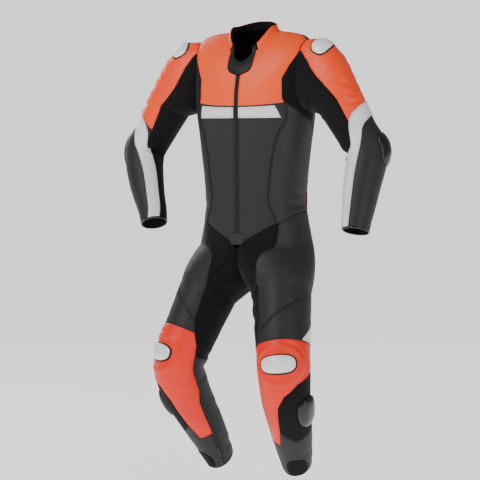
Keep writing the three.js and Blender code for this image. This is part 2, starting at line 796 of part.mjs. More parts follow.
for (const [side, tag] of [
  [1, "left"],
  [-1, "right"],
]) {
  const top = KNEE_TOP[tag];
  const innerFront = (v) => line(INNER_FRONT, v);
  const innerBack = (v) => line(INNER_BACK, v);
  const innerTop = (u) => clamp((u - 97) / 80, 0, 0.1);
  panel(`thigh_front_${tag}`, "leg", side, "leather", fixed(OUT_SEAM), innerFront, fixed(0), fixed(top), {
    cols: 7,
    gapTop: 0.9,
  });
  panel(`inner_stretch_${tag}`, "leg", side, "stretch", innerFront, innerBack, innerTop, fixed(3.2), {
    cols: 8,
    thick: STRETCH,
    gapTop: 1.1,
  });
  panel(`thigh_back_${tag}`, "leg", side, "leather", innerBack, fixed(360 + OUT_SEAM), fixed(0), fixed(3.2), {
    cols: 5,
    gapTop: 0.45,
  });
  const knee = KNEE_CUP[tag];
  const kneeSide = (v) => (v < 3.8 ? OUT_SEAM : line(SHIN_OUT, v));
  const kneeIn = (v) => (v < 3.2 ? innerFront(v) : line(SHIN_IN, v));
  const ring = (u, v) => {
    const r = Math.hypot((u - knee[0]) / 62, (v - knee[1]) / 0.62);
    return 3.5 * Math.max(0, 1 - Math.abs(r - 0.95) / 0.22);
  };
  panel(`knee_${tag}`, "leg", side, "orangeLeg", kneeSide, kneeIn, fixed(top), fixed(4.4), {
    cols: 8,
    raise: ring,
  });
  panel(`shin_${tag}`, "leg", side, "orangeLeg", (v) => line(SHIN_OUT, v), (v) => line(SHIN_IN, v), fixed(4.4), fixed(6.12), {
    cols: 4,
  });
  panel(
    `slider_panel_${tag}`,
    "leg",
    side,
    "stretch",
    (v) => line(SLIDER_BACK, v),
    (v) => line(SHIN_OUT, v),
    fixed(3.8),
    (u) => line(ANKLE_TOP, Math.min(u, 86)),
    { at: [-33, -6, 20, 47, 66], edge: (u) => line(ANKLE_TOP, u) },
  );
  panel(
    `ankle_front_${tag}`,
    "leg",
    side,
    "leather",
    fixed(-60),
    (v) => line(SHIN_IN, v),
    (u) => line(ANKLE_TOP, u),
    hem,
    { at: [-33, -6, 20, 47, 66, 86, 97, 118], edge: (u) => line(ANKLE_TOP, u), gapTop: 0.4 },
  );
  panel(
    `calf_${tag}`,
    "leg",
    side,
    "leatherSoft",
    (v) => line(CALF_IN, v),
    (v) => 360 + (v < 3.8 ? OUT_SEAM : line(SLIDER_BACK, v)),
    fixed(3.2),
    hem,
    { cols: 6 },
  );
  panel(`calf_zip_${tag}`, "leg", side, "zip", (v) => line(SHIN_IN, v), (v) => line(CALF_IN, v), fixed(4.8), hem, {
    cols: 2,
    thick: STRETCH,
  });
  overlay(`knee_cup_${tag}`, "leg", side, "hardWhite", knee, oval(knee[0], knee[1], 40, 0.27, 0.7), {
    thick: 3,
    dome: cap(6),
    around: 14,
    rings: 2,
    lift: 2.3,
  });
  // White wedge from the outside of the knee to the back of the thigh.
  const wedgeTop = (u) => top - 0.06 - (1.1 * clamp(14 - u, 0, 64)) / 64;
  panel(`knee_wedge_${tag}`, "leg", side, "white", fixed(-50), fixed(14), wedgeTop, fixed(top - 0.04), {
    cols: 4,
    thick: OVERLAY,
    lift: OVERLAY + 1.2,
    levels: [top - 0.35],
  });
  overlay(`ankle_insert_${tag}`, "leg", side, "stretch", [57, 7.48], oval(57, 7.48, 41, 0.74, 0.7), {
    around: 20,
    rings: 3,
    lift: 1.5,
  });
  overlay(`slider_${tag}`, "leg", side, "hardBlack", [4, 5.12], oval(4, 5.12, 30, 0.46, 0.8), {
    thick: 7,
    dome: cap(12, 0.25),
    around: 16,
    rings: 3,
    lift: 1,
  });
}

export default group;
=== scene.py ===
import math

import bpy
import mathutils
import numpy as np
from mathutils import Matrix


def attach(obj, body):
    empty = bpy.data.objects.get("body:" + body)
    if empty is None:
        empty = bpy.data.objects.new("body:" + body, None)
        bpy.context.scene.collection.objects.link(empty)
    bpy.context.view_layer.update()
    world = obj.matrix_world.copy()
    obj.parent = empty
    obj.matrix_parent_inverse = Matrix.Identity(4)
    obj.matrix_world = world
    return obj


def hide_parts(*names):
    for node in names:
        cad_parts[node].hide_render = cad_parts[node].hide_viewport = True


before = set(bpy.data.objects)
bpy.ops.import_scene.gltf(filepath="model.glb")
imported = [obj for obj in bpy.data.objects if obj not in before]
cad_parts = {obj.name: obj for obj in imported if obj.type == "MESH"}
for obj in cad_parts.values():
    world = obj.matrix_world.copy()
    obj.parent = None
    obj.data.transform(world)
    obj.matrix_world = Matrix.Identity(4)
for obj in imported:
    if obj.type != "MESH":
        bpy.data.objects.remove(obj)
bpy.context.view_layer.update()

# What a user would change
suit = {
    "leatherWall": 0.0022,
    "stretchWall": 0.0016,
    "seam": 0.00012,  # half of the space between two panels
    "cell": 0.0075,  # size of the cloth's mesh cells
    "seamDip": 0.0011,
    "seamWidth": 0.0028,
    "lift": 0.0004,
}
thread = {"pitch": 0.0052, "length": 0.0034, "width": 0.0007, "inset": 0.005, "lift": 0.0002}
zipTeeth = {"pitch": 0.0028, "size": (0.0016, 0.0052, 0.0018), "lift": 0.0002}
perforation = {"pitch": 0.0065, "size": (0.0012, 0.0012, 0.0008)}
cords = {"tape": 0.0021, "piping": 0.0013, "thighSeam": 0.0011}  # radii
skinGrain = {"scale": 900.0, "depth": 0.1, "noise": 260, "detail": 4, "cells": 1.4}
ribKnit = {"ribs": 90, "rows": 130, "warp": 0.6, "share": 0.7}
bumpDistance = 0.0004
# a crease's trough has a low ridge on both sides; its numbers are shares of the crease's own width and depth
creaseForm = {"reach": 160, "ridge": 0.45, "ridgeAt": 1.7, "ridgeWidth": 0.7, "fadeSteps": 8, "fade": 0.7}
colours = {
    "orange": (1.0, 0.085, 0.006),
    "orangeSleeve": (1.0, 0.06, 0.004),
    # the leg orange below is a darker, deeper copy of the orange leather: painted shade that holds back the
    # floor's light on the lower suit; the orange thread uses it too
    "orangeLeg": (0.9, 0.02, 0.002),
    "leather": (0.018, 0.0185, 0.019),
    "leatherSoft": (0.02, 0.0205, 0.021),
    "leatherDark": (0.004, 0.004, 0.0045),
    "stretch": (0.0045, 0.0045, 0.005),
    "white": (0.80, 0.80, 0.79),
    "hardWhite": (0.86, 0.86, 0.85),
    "hardBlack": (0.005, 0.005, 0.0055),
    "zip": (0.006, 0.006, 0.007),
    "metal": (0.06, 0.06, 0.065),
    "red": (0.72, 0.05, 0.04),
}
camera = {"azimuth": 30, "elevation": 3, "distance": 6.0, "lens": 138.0, "aim": (-0.048, -0.028, -0.586)}
backdrop = {"height": -1.42, "half": 40, "grey": 0.5, "glow": 1.15, "seen": 1.0, "light": 0.32}
# columns: place, size, power
lamps = {
    "keyLight": ((-1.0, -3.0, 1.9), (1.6, 1.8), 78),
    "fillLight": ((3.4, -1.8, 0.3), (1.4, 2.6), 34),
    "rimLight": ((-2.8, 1.2, 1.2), (1.0, 2.6), 40),
}
lampAim = (0, 0, -0.6)
sides = ((1, "left"), (-1, "right"))

# columns: half width, front y, side y, back y, front z, side z, back z
bodyRows = np.array([
    [75, -95, -20, 45, 26, 108, 127],
    [86, -98, -20, 52, 8, 90, 100],
    [135, -112, -18, 78, -18, 84, 84],
    [180, -122, -16, 98, -45, 70, 58],
    [203, -130, -14, 110, -75, 36, 20],
    [207, -136, -12, 117, -105, -25, -35],
    [206, -139, -10, 120, -135, -95, -95],
    [203, -139, -8, 120, -172, -165, -165],
    [196, -138, -6, 117, -227, -227, -227],
    [180, -137, -4, 110, -340, -340, -340],
    [170, -135, 0, 108, -450, -450, -450],
    [176, -134, 0, 115, -520, -520, -520],
    [192, -132, 0, 125, -600, -600, -600],
], float)
# columns: centre x, y, z, radius out, radius front
upperArm = [[250, -28, -46, 76, 74], [316, -28, -143, 74, 72], [372, -28, -232, 66, 66]]
forearms = {
    1: [[412, -30, -300, 67, 64], [417, -72, -400, 58, 58],
        [418, -108, -500, 47, 48], [419, -122, -542, 42, 44]],
    -1: [[412, -32, -300, 67, 64], [382, -72, -395, 58, 58],
         [337, -106, -490, 47, 48], [320, -121, -532, 42, 44]],
}
armRows = {side: np.array(upperArm + rest, float) for side, rest in forearms.items()}
legRows = np.array([
    [90, -10, -585, 96, 100],
    [136, -82, -755, 95, 96],
    [163, -125, -855, 89, 90],
    [184, -158, -937, 85, 86],
    [193, -167, -1003, 83, 84],
    [184, -138, -1080, 77, 79],
    [165, -66, -1190, 66, 66],
    [151, -12, -1275, 54, 54],
    [145, 10, -1315, 46, 47],
], float)
squareness = 0.87


def sinD(a):
    return np.sin(np.radians(a))


def cosD(a):
    return np.cos(np.radians(a))


def power(x, k):
    return np.sign(x) * np.abs(x) ** k


def unit(a):
    return a / np.maximum(np.linalg.norm(a, axis=-1, keepdims=True), 1e-12)


def mix(a, b, w):
    return a + (b - a) * w


def along(table, v):
    v = np.asarray(v, float)
    n = len(table) - 1
    x = np.clip(v, 0, n)
    i = np.minimum(np.floor(x).astype(int), n - 1)
    f = (x - i)[..., None]
    p0, p1, p2, p3 = table[np.maximum(i - 1, 0)], table[i], table[i + 1], table[np.minimum(i + 2, n)]
    m1, m2 = (p2 - p0) / 2, (p3 - p1) / 2
    a = 2 * p1 - 2 * p2 + m1 + m2
    b = 3 * p2 - 3 * p1 - 2 * m1 - m2
    r = ((a * f + b) * f + m1) * f + p1
    return r + m1 * np.minimum(v, 0)[..., None] + m2 * np.maximum(v - n, 0)[..., None]


def line(rows, x):
    return np.interp(x, [r[0] for r in rows], [r[1] for r in rows])


def body(side, t, v):
    t, v = np.broadcast_arrays(np.asarray(t, float), np.asarray(v, float))
    a = (t % 360 + 540) % 360 - 180
    half, yf, ys, yb, zf, zs, zb = np.moveaxis(along(bodyRows, v), -1, 0)
    s, c = sinD(np.abs(a)), cosD(a)
    w, q = np.abs(c) ** squareness, np.abs(c) ** 1.7
    return np.stack([
        np.sign(a) * half * np.maximum(s, 0) ** squareness,
        ys + (np.where(c > 0, yf, yb) - ys) * w,
        zs + (np.where(c > 0, zf, zb) - zs) * q,
    ], -1)


def angleAt(x, v):
    return np.degrees(np.arcsin(np.clip(x / along(bodyRows, v)[..., 0], 0, 1) ** (1 / squareness)))


hole = {"t": 90, "v": 5.25, "wide": 28, "high": 1.75, "tall": 0.85, "square": 0.6}


def holeT(q):
    return hole["t"] - hole["wide"] * power(sinD(q), hole["square"])


def holeV(q):
    return hole["v"] - hole["high"] * power(cosD(q), hole["tall"])


holeTable = [[float(holeV(q)), float(holeT(q))] for q in range(0, 181, 5)]


def holeFront(v):
    return line(holeTable, v)


def onTube(table, q, v):
    p = along(table, v)
    d = unit((along(table, v + 0.35) - along(table, v - 0.35))[..., :3])
    front = unit(np.array([0, -1, 0]) + d * d[..., 1:2])
    out = np.cross(front, d)
    out = out * np.sign(out[..., :1])
    return p[..., :3] + out * (p[..., 3] * cosD(q))[..., None] + front * (p[..., 4] * sinD(q))[..., None]


def sleeve(side, q, v):
    q, v = np.broadcast_arrays(np.asarray(q, float), np.asarray(v, float))
    table = armRows[side]
    far = onTube(table, q, np.maximum(v, 1))
    w = np.clip(v, 0, 1)
    start = body(1, holeT(q), holeV(q))
    near = mix(start, onTube(table, q, np.ones_like(v)), (0.8 * w + 0.2 * w * w)[..., None])
    bulge = 47 * np.sin(np.pi * w**0.75) * np.maximum(cosD(q), 0) ** 1.2
    near = near + bulge[..., None] * np.array([0.694, 0, 0.72])
    near = near + (9 * np.sin(np.pi * w) * sinD(q))[..., None] * np.array([0, -1, 0])
    return np.where((v >= 1)[..., None], far, near) * np.array([side, 1, 1])


waistRows = [[0, 12], [7.5, 11.64], [15, 11.5], [22.5, 11.38], [30, 11.24], [45, 11.06], [60, 10.85],
             [75, 10.62], [90, 10.5], [105, 10.5], [140, 10.8], [180, 11]]


def waistLine(t):
    t = np.abs(np.asarray(t, float))
    return line(waistRows, np.where(t > 180, 360 - t, t))


rise = {"front": 105, "back": 255, "drop": 126}


def riseCurve(k):
    y = -3.5 - 128.5 * power(cosD(180 * k), 0.8)
    return np.stack([np.zeros_like(y), y, -600 - rise["drop"] * np.maximum(sinD(180 * k), 0) ** 0.75], -1)


def leg(side, q0, v):
    q, v = np.broadcast_arrays(np.asarray(q0, float) % 360, np.asarray(v, float))
    inRise = (q > rise["front"]) & (q < rise["back"])
    t = 90 - np.where(q <= rise["front"], q, q - 360) * 90 / rise["front"]
    far = onTube(legRows, q, np.maximum(v, 1))
    k = np.clip((q - rise["front"]) / (rise["back"] - rise["front"]), 0, 1)
    low = waistLine(t)
    hip = np.where(inRise[..., None], riseCurve(k), body(1, t, low + (12 - low) * np.clip(v / 0.1, 0, 1)))
    w = np.clip((v - 0.1) / 0.9, 0, 1)
    share = 0.85 * w + 0.15 * w * w * (3 - 2 * w)
    near = mix(hip, onTube(legRows, q, np.ones_like(v)), share[..., None])
    swell = np.where(inRise, 0, 9) * np.sin(np.pi * w)
    near = near + unit(np.stack([0.8 * cosD(q) + 0.001, -sinD(q), np.zeros_like(q)], -1)) * swell[..., None]
    return np.where((v >= 1)[..., None], far, near) * np.array([side, 1, 1])


surfaces = {"body": body, "sleeve": sleeve, "leg": leg}


def frameAt(kind, side, u, v):
    f = surfaces[kind]
    return f(side, u + 0.4, v) - f(side, u - 0.4, v), (f(side, u, v + 0.015) - f(side, u, v - 0.015)) / 0.03


def turnOf(kind, side):
    v = 8.0 if kind == "body" else 4.0
    du, dv = frameAt(kind, side, np.array(90.0), np.array(v))
    p = surfaces[kind](side, 90.0, v)
    away = np.array([p[0], 0, 0]) if kind == "body" else np.array([0, -1, 0])
    return 1 if np.dot(np.cross(du, dv), away) > 0 else -1


def outward(kind, side, u, v):
    du, dv = frameAt(kind, side, u, v)
    return unit(np.cross(du, dv)) * turnOf(kind, side)


def clothArea(grid):
    rising = grid[1:, 1:] - grid[:-1, :-1]
    falling = grid[1:, :-1] - grid[:-1, 1:]
    return 0.5 * np.linalg.norm(np.cross(rising, falling), axis=2).sum() / 1e6


# Creases: where a soft trough runs, as points of the surface, with its width and depth in millimetres.
# A negative depth is a ridge.
creases = [
    ("sleeve", [(60, 0.75), (20, 0.95), (-20, 1.0)], 9, 1.6),
    ("sleeve", [(66, 1.15), (40, 1.32), (10, 1.38)], 8, 1.5),
    ("sleeve", [(100, 0.5), (140, 0.62), (180, 0.55)], 13, 3.0),
    ("sleeve", [(95, 0.95), (140, 0.9), (185, 0.85)], 12, 2.4),
    ("sleeve", [(110, 2.35), (150, 2.55), (200, 2.6)], 11, 3.2),
    ("sleeve", [(105, 2.8), (150, 2.85), (205, 2.9)], 10, 3.6),
    ("sleeve", [(115, 3.15), (155, 3.1), (210, 3.05)], 10, 3.0),
    ("sleeve", [(120, 3.6), (160, 3.4), (205, 3.3)], 12, 2.2),
    ("sleeve", [(-30, 4.2), (10, 4.4), (50, 4.3)], 14, 1.3),
    ("sleeve", [(-50, 5.0), (0, 5.2), (60, 5.1)], 13, 1.2),
    ("body", [(70, 7.9), (84, 8.4), (98, 8.6)], 14, 2.0),
    ("body", [(60, 9.6), (80, 9.85), (104, 9.9)], 13, 2.2),
    ("body", [(52, 10.3), (80, 10.2), (110, 10.15)], 12, 2.2),
    ("body", [(10, 10.2), (24, 10.35), (36, 10.3)], 15, 1.2),
    ("body", [(12, 8.6), (26, 8.75), (36, 8.7)], 18, 0.9),
    ("body", [(52, 4.6), (58, 5.2), (60, 5.9)], 9, 1.8),
    ("body", [(120, 6.8), (150, 7.2), (178, 7.3)], 18, 1.6),
    ("body", [(115, 8.4), (145, 8.7), (175, 8.75)], 16, 1.6),
    ("leg", [(52, 0.3), (80, 0.5), (104, 0.42)], 12, 3.0),
    ("leg", [(30, 0.5), (60, 0.8), (92, 0.85)], 14, 2.4),
    ("leg", [(98, 0.75), (125, 0.9), (160, 0.7)], 11, 3.0),
    ("leg", [(100, 1.2), (130, 1.25), (165, 1.1)], 13, 2.4),
    ("leg", [(116, 1.8), (150, 1.75), (190, 1.6)], 14, 2.0),
    ("leg", [(140, 2.9), (180, 3.0), (225, 2.95)], 12, 3.2),
    ("leg", [(150, 3.4), (190, 3.5), (240, 3.45)], 11, 3.8),
    ("leg", [(158, 3.9), (200, 3.9), (250, 3.85)], 11, 3.6),
    ("leg", [(160, 4.4), (205, 4.3), (255, 4.25)], 13, 2.8),
    ("leg", [(235, 1.0), (280, 1.15), (320, 1.0)], 17, 2.4),
    ("leg", [(240, 2.3), (290, 2.4), (330, 2.3)], 15, 2.0),
    ("leg", [(-20, 1.5), (20, 1.62), (60, 1.55)], 16, 1.2),
    ("leg", [(-50, 6.4), (-10, 6.6), (60, 6.5)], 13, 1.5),
    ("leg", [(-55, 7.2), (0, 7.35), (110, 7.25)], 12, 1.5),
    ("leg", [(170, 5.6), (220, 5.7), (280, 5.6)], 15, 1.8),
    ("leg", [(150, 6.8), (210, 6.95), (285, 6.9)], 14, 1.8),
]


def creasePoints(kind, side, points):
    steps, ends = np.linspace(0, 1, 33), np.linspace(0, 1, len(points))
    u, v = (np.interp(steps, ends, [p[k] for p in points]) for k in (0, 1))
    return surfaces[kind](side, u, v)


creaseSets = {}
for kind, points, width, depth in creases:
    for side in (1, -1):
        if kind == "body":
            path = creasePoints(kind, 1, [(side * p[0], p[1]) for p in points])
            key = ("body", 1)
        else:
            path = creasePoints(kind, side, points)
            key = (kind, side)
        creaseSets.setdefault(key, []).append((path, width, depth))


def creaseDepth(kind, side, p):
    form = creaseForm
    flat = p.reshape(-1, 3)
    total = np.zeros(len(flat))
    for path, width, depth in creaseSets.get((kind, side), []):
        near = np.abs(flat - path.mean(0)).max(1) < form["reach"]
        if not near.any():
            continue
        d = np.linalg.norm(flat[near, None] - path[None], axis=2)
        k = d.argmin(1)
        end = np.minimum(k, len(path) - 1 - k) / form["fadeSteps"]
        fade = np.clip(end, 0, 1) ** form["fade"]
        r = d.min(1) / width
        ridge = form["ridge"] * np.exp(-((r - form["ridgeAt"]) / form["ridgeWidth"]) ** 2)
        total[near] += depth * fade * (np.exp(-r * r) - ridge)
    return total.reshape(p.shape[:-1])


def unevenness(p):
    x, y, z = p[..., 0], p[..., 1], p[..., 2]
    a = np.sin(x / 31 + 1.3 * np.sin(z / 47)) * np.sin(z / 39 + y / 53)
    b = np.sin(x / 17 - z / 23 + 2 * np.sin(y / 41)) * 0.45
    return a + b


# Materials
def setSocket(node, name, value):
    if name in node.inputs:
        node.inputs[name].default_value = value


def wire(tree, *links):
    for start, out, end, into in links:
        tree.links.new(start.outputs[out], end.inputs[into])


def grainGroup():
    group = bpy.data.node_groups.new("skinGrain", "ShaderNodeTree")
    for label, value in (("Scale", skinGrain["scale"]), ("Depth", skinGrain["depth"])):
        socket = group.interface.new_socket(label, in_out="INPUT", socket_type="NodeSocketFloat")
        socket.default_value = value
    group.interface.new_socket("Height", in_out="OUTPUT", socket_type="NodeSocketFloat")
    n = group.nodes
    start, end = n.new("NodeGroupInput"), n.new("NodeGroupOutput")
    place = n.new("ShaderNodeTexCoord")
    cells = n.new("ShaderNodeTexVoronoi")
    cells.feature = "DISTANCE_TO_EDGE"
    soft = n.new("ShaderNodeTexNoise")
    soft.inputs["Scale"].default_value = skinGrain["noise"]
    soft.inputs["Detail"].default_value = skinGrain["detail"]
    mixUp = n.new("ShaderNodeMath")
    mixUp.operation = "MULTIPLY_ADD"
    total = n.new("ShaderNodeMath")
    total.operation = "MULTIPLY"
    mixUp.inputs[1].default_value = skinGrain["cells"]
    wire(group,
         (place, "Object", cells, "Vector"), (place, "Object", soft, "Vector"),
         (start, "Scale", cells, "Scale"), (cells, "Distance", mixUp, 0), (soft, 0, mixUp, 2),
         (mixUp, 0, total, 0), (start, "Depth", total, 1), (total, 0, end, "Height"))
    return group


def knitGroup():
    group = bpy.data.node_groups.new("ribKnit", "ShaderNodeTree")
    group.interface.new_socket("Height", in_out="OUTPUT", socket_type="NodeSocketFloat")
    n = group.nodes
    end = n.new("NodeGroupOutput")
    place = n.new("ShaderNodeTexCoord")
    ribs = n.new("ShaderNodeTexWave")
    ribs.wave_type = "BANDS"
    ribs.bands_direction = "X"
    ribs.inputs["Scale"].default_value = ribKnit["ribs"]
    ribs.inputs["Distortion"].default_value = ribKnit["warp"]
    weft = n.new("ShaderNodeTexWave")
    weft.wave_type = "BANDS"
    weft.bands_direction = "Y"
    weft.inputs["Scale"].default_value = ribKnit["rows"]
    both = n.new("ShaderNodeMath")
    both.operation = "MULTIPLY_ADD"
    both.inputs[1].default_value = ribKnit["share"]
    wire(group,
         (place, "UV", ribs, "Vector"), (place, "UV", weft, "Vector"), (ribs, "Color", both, 0),
         (weft, "Color", both, 2), (both, 0, end, "Height"))
    return group


grain, knit = grainGroup(), knitGroup()
# columns: roughness, coat, coat roughness, sheen, specular, surface, bump
finishes = {
    "orange": (0.48, 0.05, 0.35, 0.0, 0.35, "grain", 0.12),
    "orangeSleeve": (0.46, 0.06, 0.35, 0.0, 0.35, "grain", 0.12),
    "orangeLeg": (0.46, 0.06, 0.35, 0.0, 0.35, "grain", 0.12),
    "leather": (0.55, 0.02, 0.35, 0.0, 0.3, "grain", 0.2),
    "leatherSoft": (0.52, 0.03, 0.4, 0.0, 0.3, "grain", 0.2),
    "leatherDark": (0.5, 0.0, 0.4, 0.0, 0.25, "grain", 0.2),
    "stretch": (0.9, 0.0, 0.5, 0.05, 0.18, "knit", 0.25),
    "white": (0.42, 0.1, 0.3, 0.0, 0.45, "grain", 0.05),
    "hardWhite": (0.25, 0.4, 0.12, 0.0, 0.5, None, 0),
    "hardBlack": (0.3, 0.25, 0.12, 0.0, 0.4, None, 0),
    "zip": (0.6, 0.0, 0.5, 0.1, 0.3, "knit", 0.2),
    "metal": (0.32, 0.2, 0.2, 0.0, 0.5, None, 0),
    "red": (0.7, 0.0, 0.5, 0.1, 0.3, "knit", 0.15),
}
materials = {}
for name, (rough, coat, coatRough, sheen, specular, surface, bump) in finishes.items():
    m = bpy.data.materials.new(name)
    m.use_nodes = True
    shader = m.node_tree.nodes["Principled BSDF"]
    shader.inputs["Base Color"].default_value = (*colours[name], 1)
    setSocket(shader, "Roughness", rough)
    setSocket(shader, "Coat Weight", coat)
    setSocket(shader, "Coat Roughness", coatRough)
    setSocket(shader, "Sheen Weight", sheen)
    setSocket(shader, "Specular IOR Level", specular)
    if name == "metal":
        setSocket(shader, "Metallic", 0.8)
    if surface:
        g = m.node_tree.nodes.new("ShaderNodeGroup")
        g.node_tree = grain if surface == "grain" else knit
        b = m.node_tree.nodes.new("ShaderNodeBump")
        b.inputs["Strength"].default_value = bump
        b.inputs["Distance"].default_value = bumpDistance
        wire(m.node_tree, (g, "Height", b, "Height"), (b, "Normal", shader, "Normal"))
    m.diffuse_color = (*colours[name], 1)
    materials[name] = m
print("materials", len(materials))


def makeObject(name, verts, faces, uvs, look):
    mesh = bpy.data.meshes.new(name)
    mesh.from_pydata(verts, [], faces)
    if uvs is not None:
        layer = mesh.uv_layers.new(name="UVMap")
        index = np.empty(len(mesh.loops), int)
        mesh.loops.foreach_get("vertex_index", index)
        layer.data.foreach_set("uv", np.asarray(uvs)[index].ravel())
    mesh.materials.append(materials[look])
    mesh.polygons.foreach_set("use_smooth", [True] * len(mesh.polygons))
    mesh.update()
    o = bpy.data.objects.new(name, mesh)
    bpy.context.scene.collection.objects.link(o)
    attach(o, "root")
    return o


def shellFaces(rows, cols, flip, loop=False):
    half = rows * cols
    j, i = np.meshgrid(np.arange(rows - 1), np.arange(cols - (0 if loop else 1)), indexing="ij")
    a = j * cols + i
    b = j * cols + (i + 1) % cols
    c, d = b + cols, a + cols
    faces = [np.stack([a, b, c, d], -1).reshape(-1, 4), (np.stack([a, d, c, b], -1) + half).reshape(-1, 4)]
    i = np.arange(cols - (0 if loop else 1))
    n = (i + 1) % cols
    faces.append(np.stack([n, i, half + i, half + n], -1))
    base = (rows - 1) * cols
    faces.append(np.stack([base + i, base + n, half + base + n, half + base + i], -1))
    if not loop:
        j = np.arange(rows - 1)
        a, d = j * cols, (j + 1) * cols
        faces.append(np.stack([a, d, half + d, half + a], -1))
        a, d = a + cols - 1, d + cols - 1
        faces.append(np.stack([d, a, half + a, half + d], -1))
    out = np.concatenate(faces)
    return out[:, ::-1] if flip else out


def cleanMesh(verts, faces, uvs):
    key = np.round(verts * 2e4).astype(np.int64)
    _, first, back = np.unique(key, axis=0, return_index=True, return_inverse=True)
    back = back.ravel()
    kept = []
    for f in back[faces]:
        g = [f[k] for k in range(4) if f[k] != f[(k + 1) % 4]]
        if len(set(g)) == len(g) and len(g) >= 3:
            kept.append(g)
    return verts[first], kept, uvs[first]


def clothPiece(name, outer, inner, faces, uv, look, replace=True):
    verts = np.concatenate([outer.reshape(-1, 3), inner.reshape(-1, 3)]) / 1000
    verts, faces, uvs = cleanMesh(verts, faces, np.concatenate([uv, uv]))
    o = makeObject(name + "_look", verts.tolist(), faces, uvs, look)
    if replace:
        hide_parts(name)
    return o


def spread(edgeLength, cell, rim):
    n = max(int(round(edgeLength / cell)), 4)
    r = min(rim / max(edgeLength, 1e-6), 0.12)
    mid = np.linspace(2 * r, 1 - 2 * r, n - 1)
    return np.concatenate([[0, 0.5 * r, r], mid, [1 - r, 1 - 0.5 * r, 1]])


seamLines = {"orange": [], "dark": [], "white": []}


threadLift = thread["lift"] * 1000


def stitchLine(outer, n, d, shift, fromEnd):
    path = []
    last = outer.shape[1] - 1
    for j in range(2, len(outer) - 2):
        if d[j].max() < 2.4 * shift:
            continue
        k = np.interp(shift, d[j][::-1] if fromEnd else d[j], np.arange(last + 1))
        k = last - k if fromEnd else k
        i = int(min(max(math.floor(k), 0), last - 1))
        path.append((mix(outer[j, i], outer[j, i + 1], k - i) + n[j, i] * threadLift) / 1000)
    return path


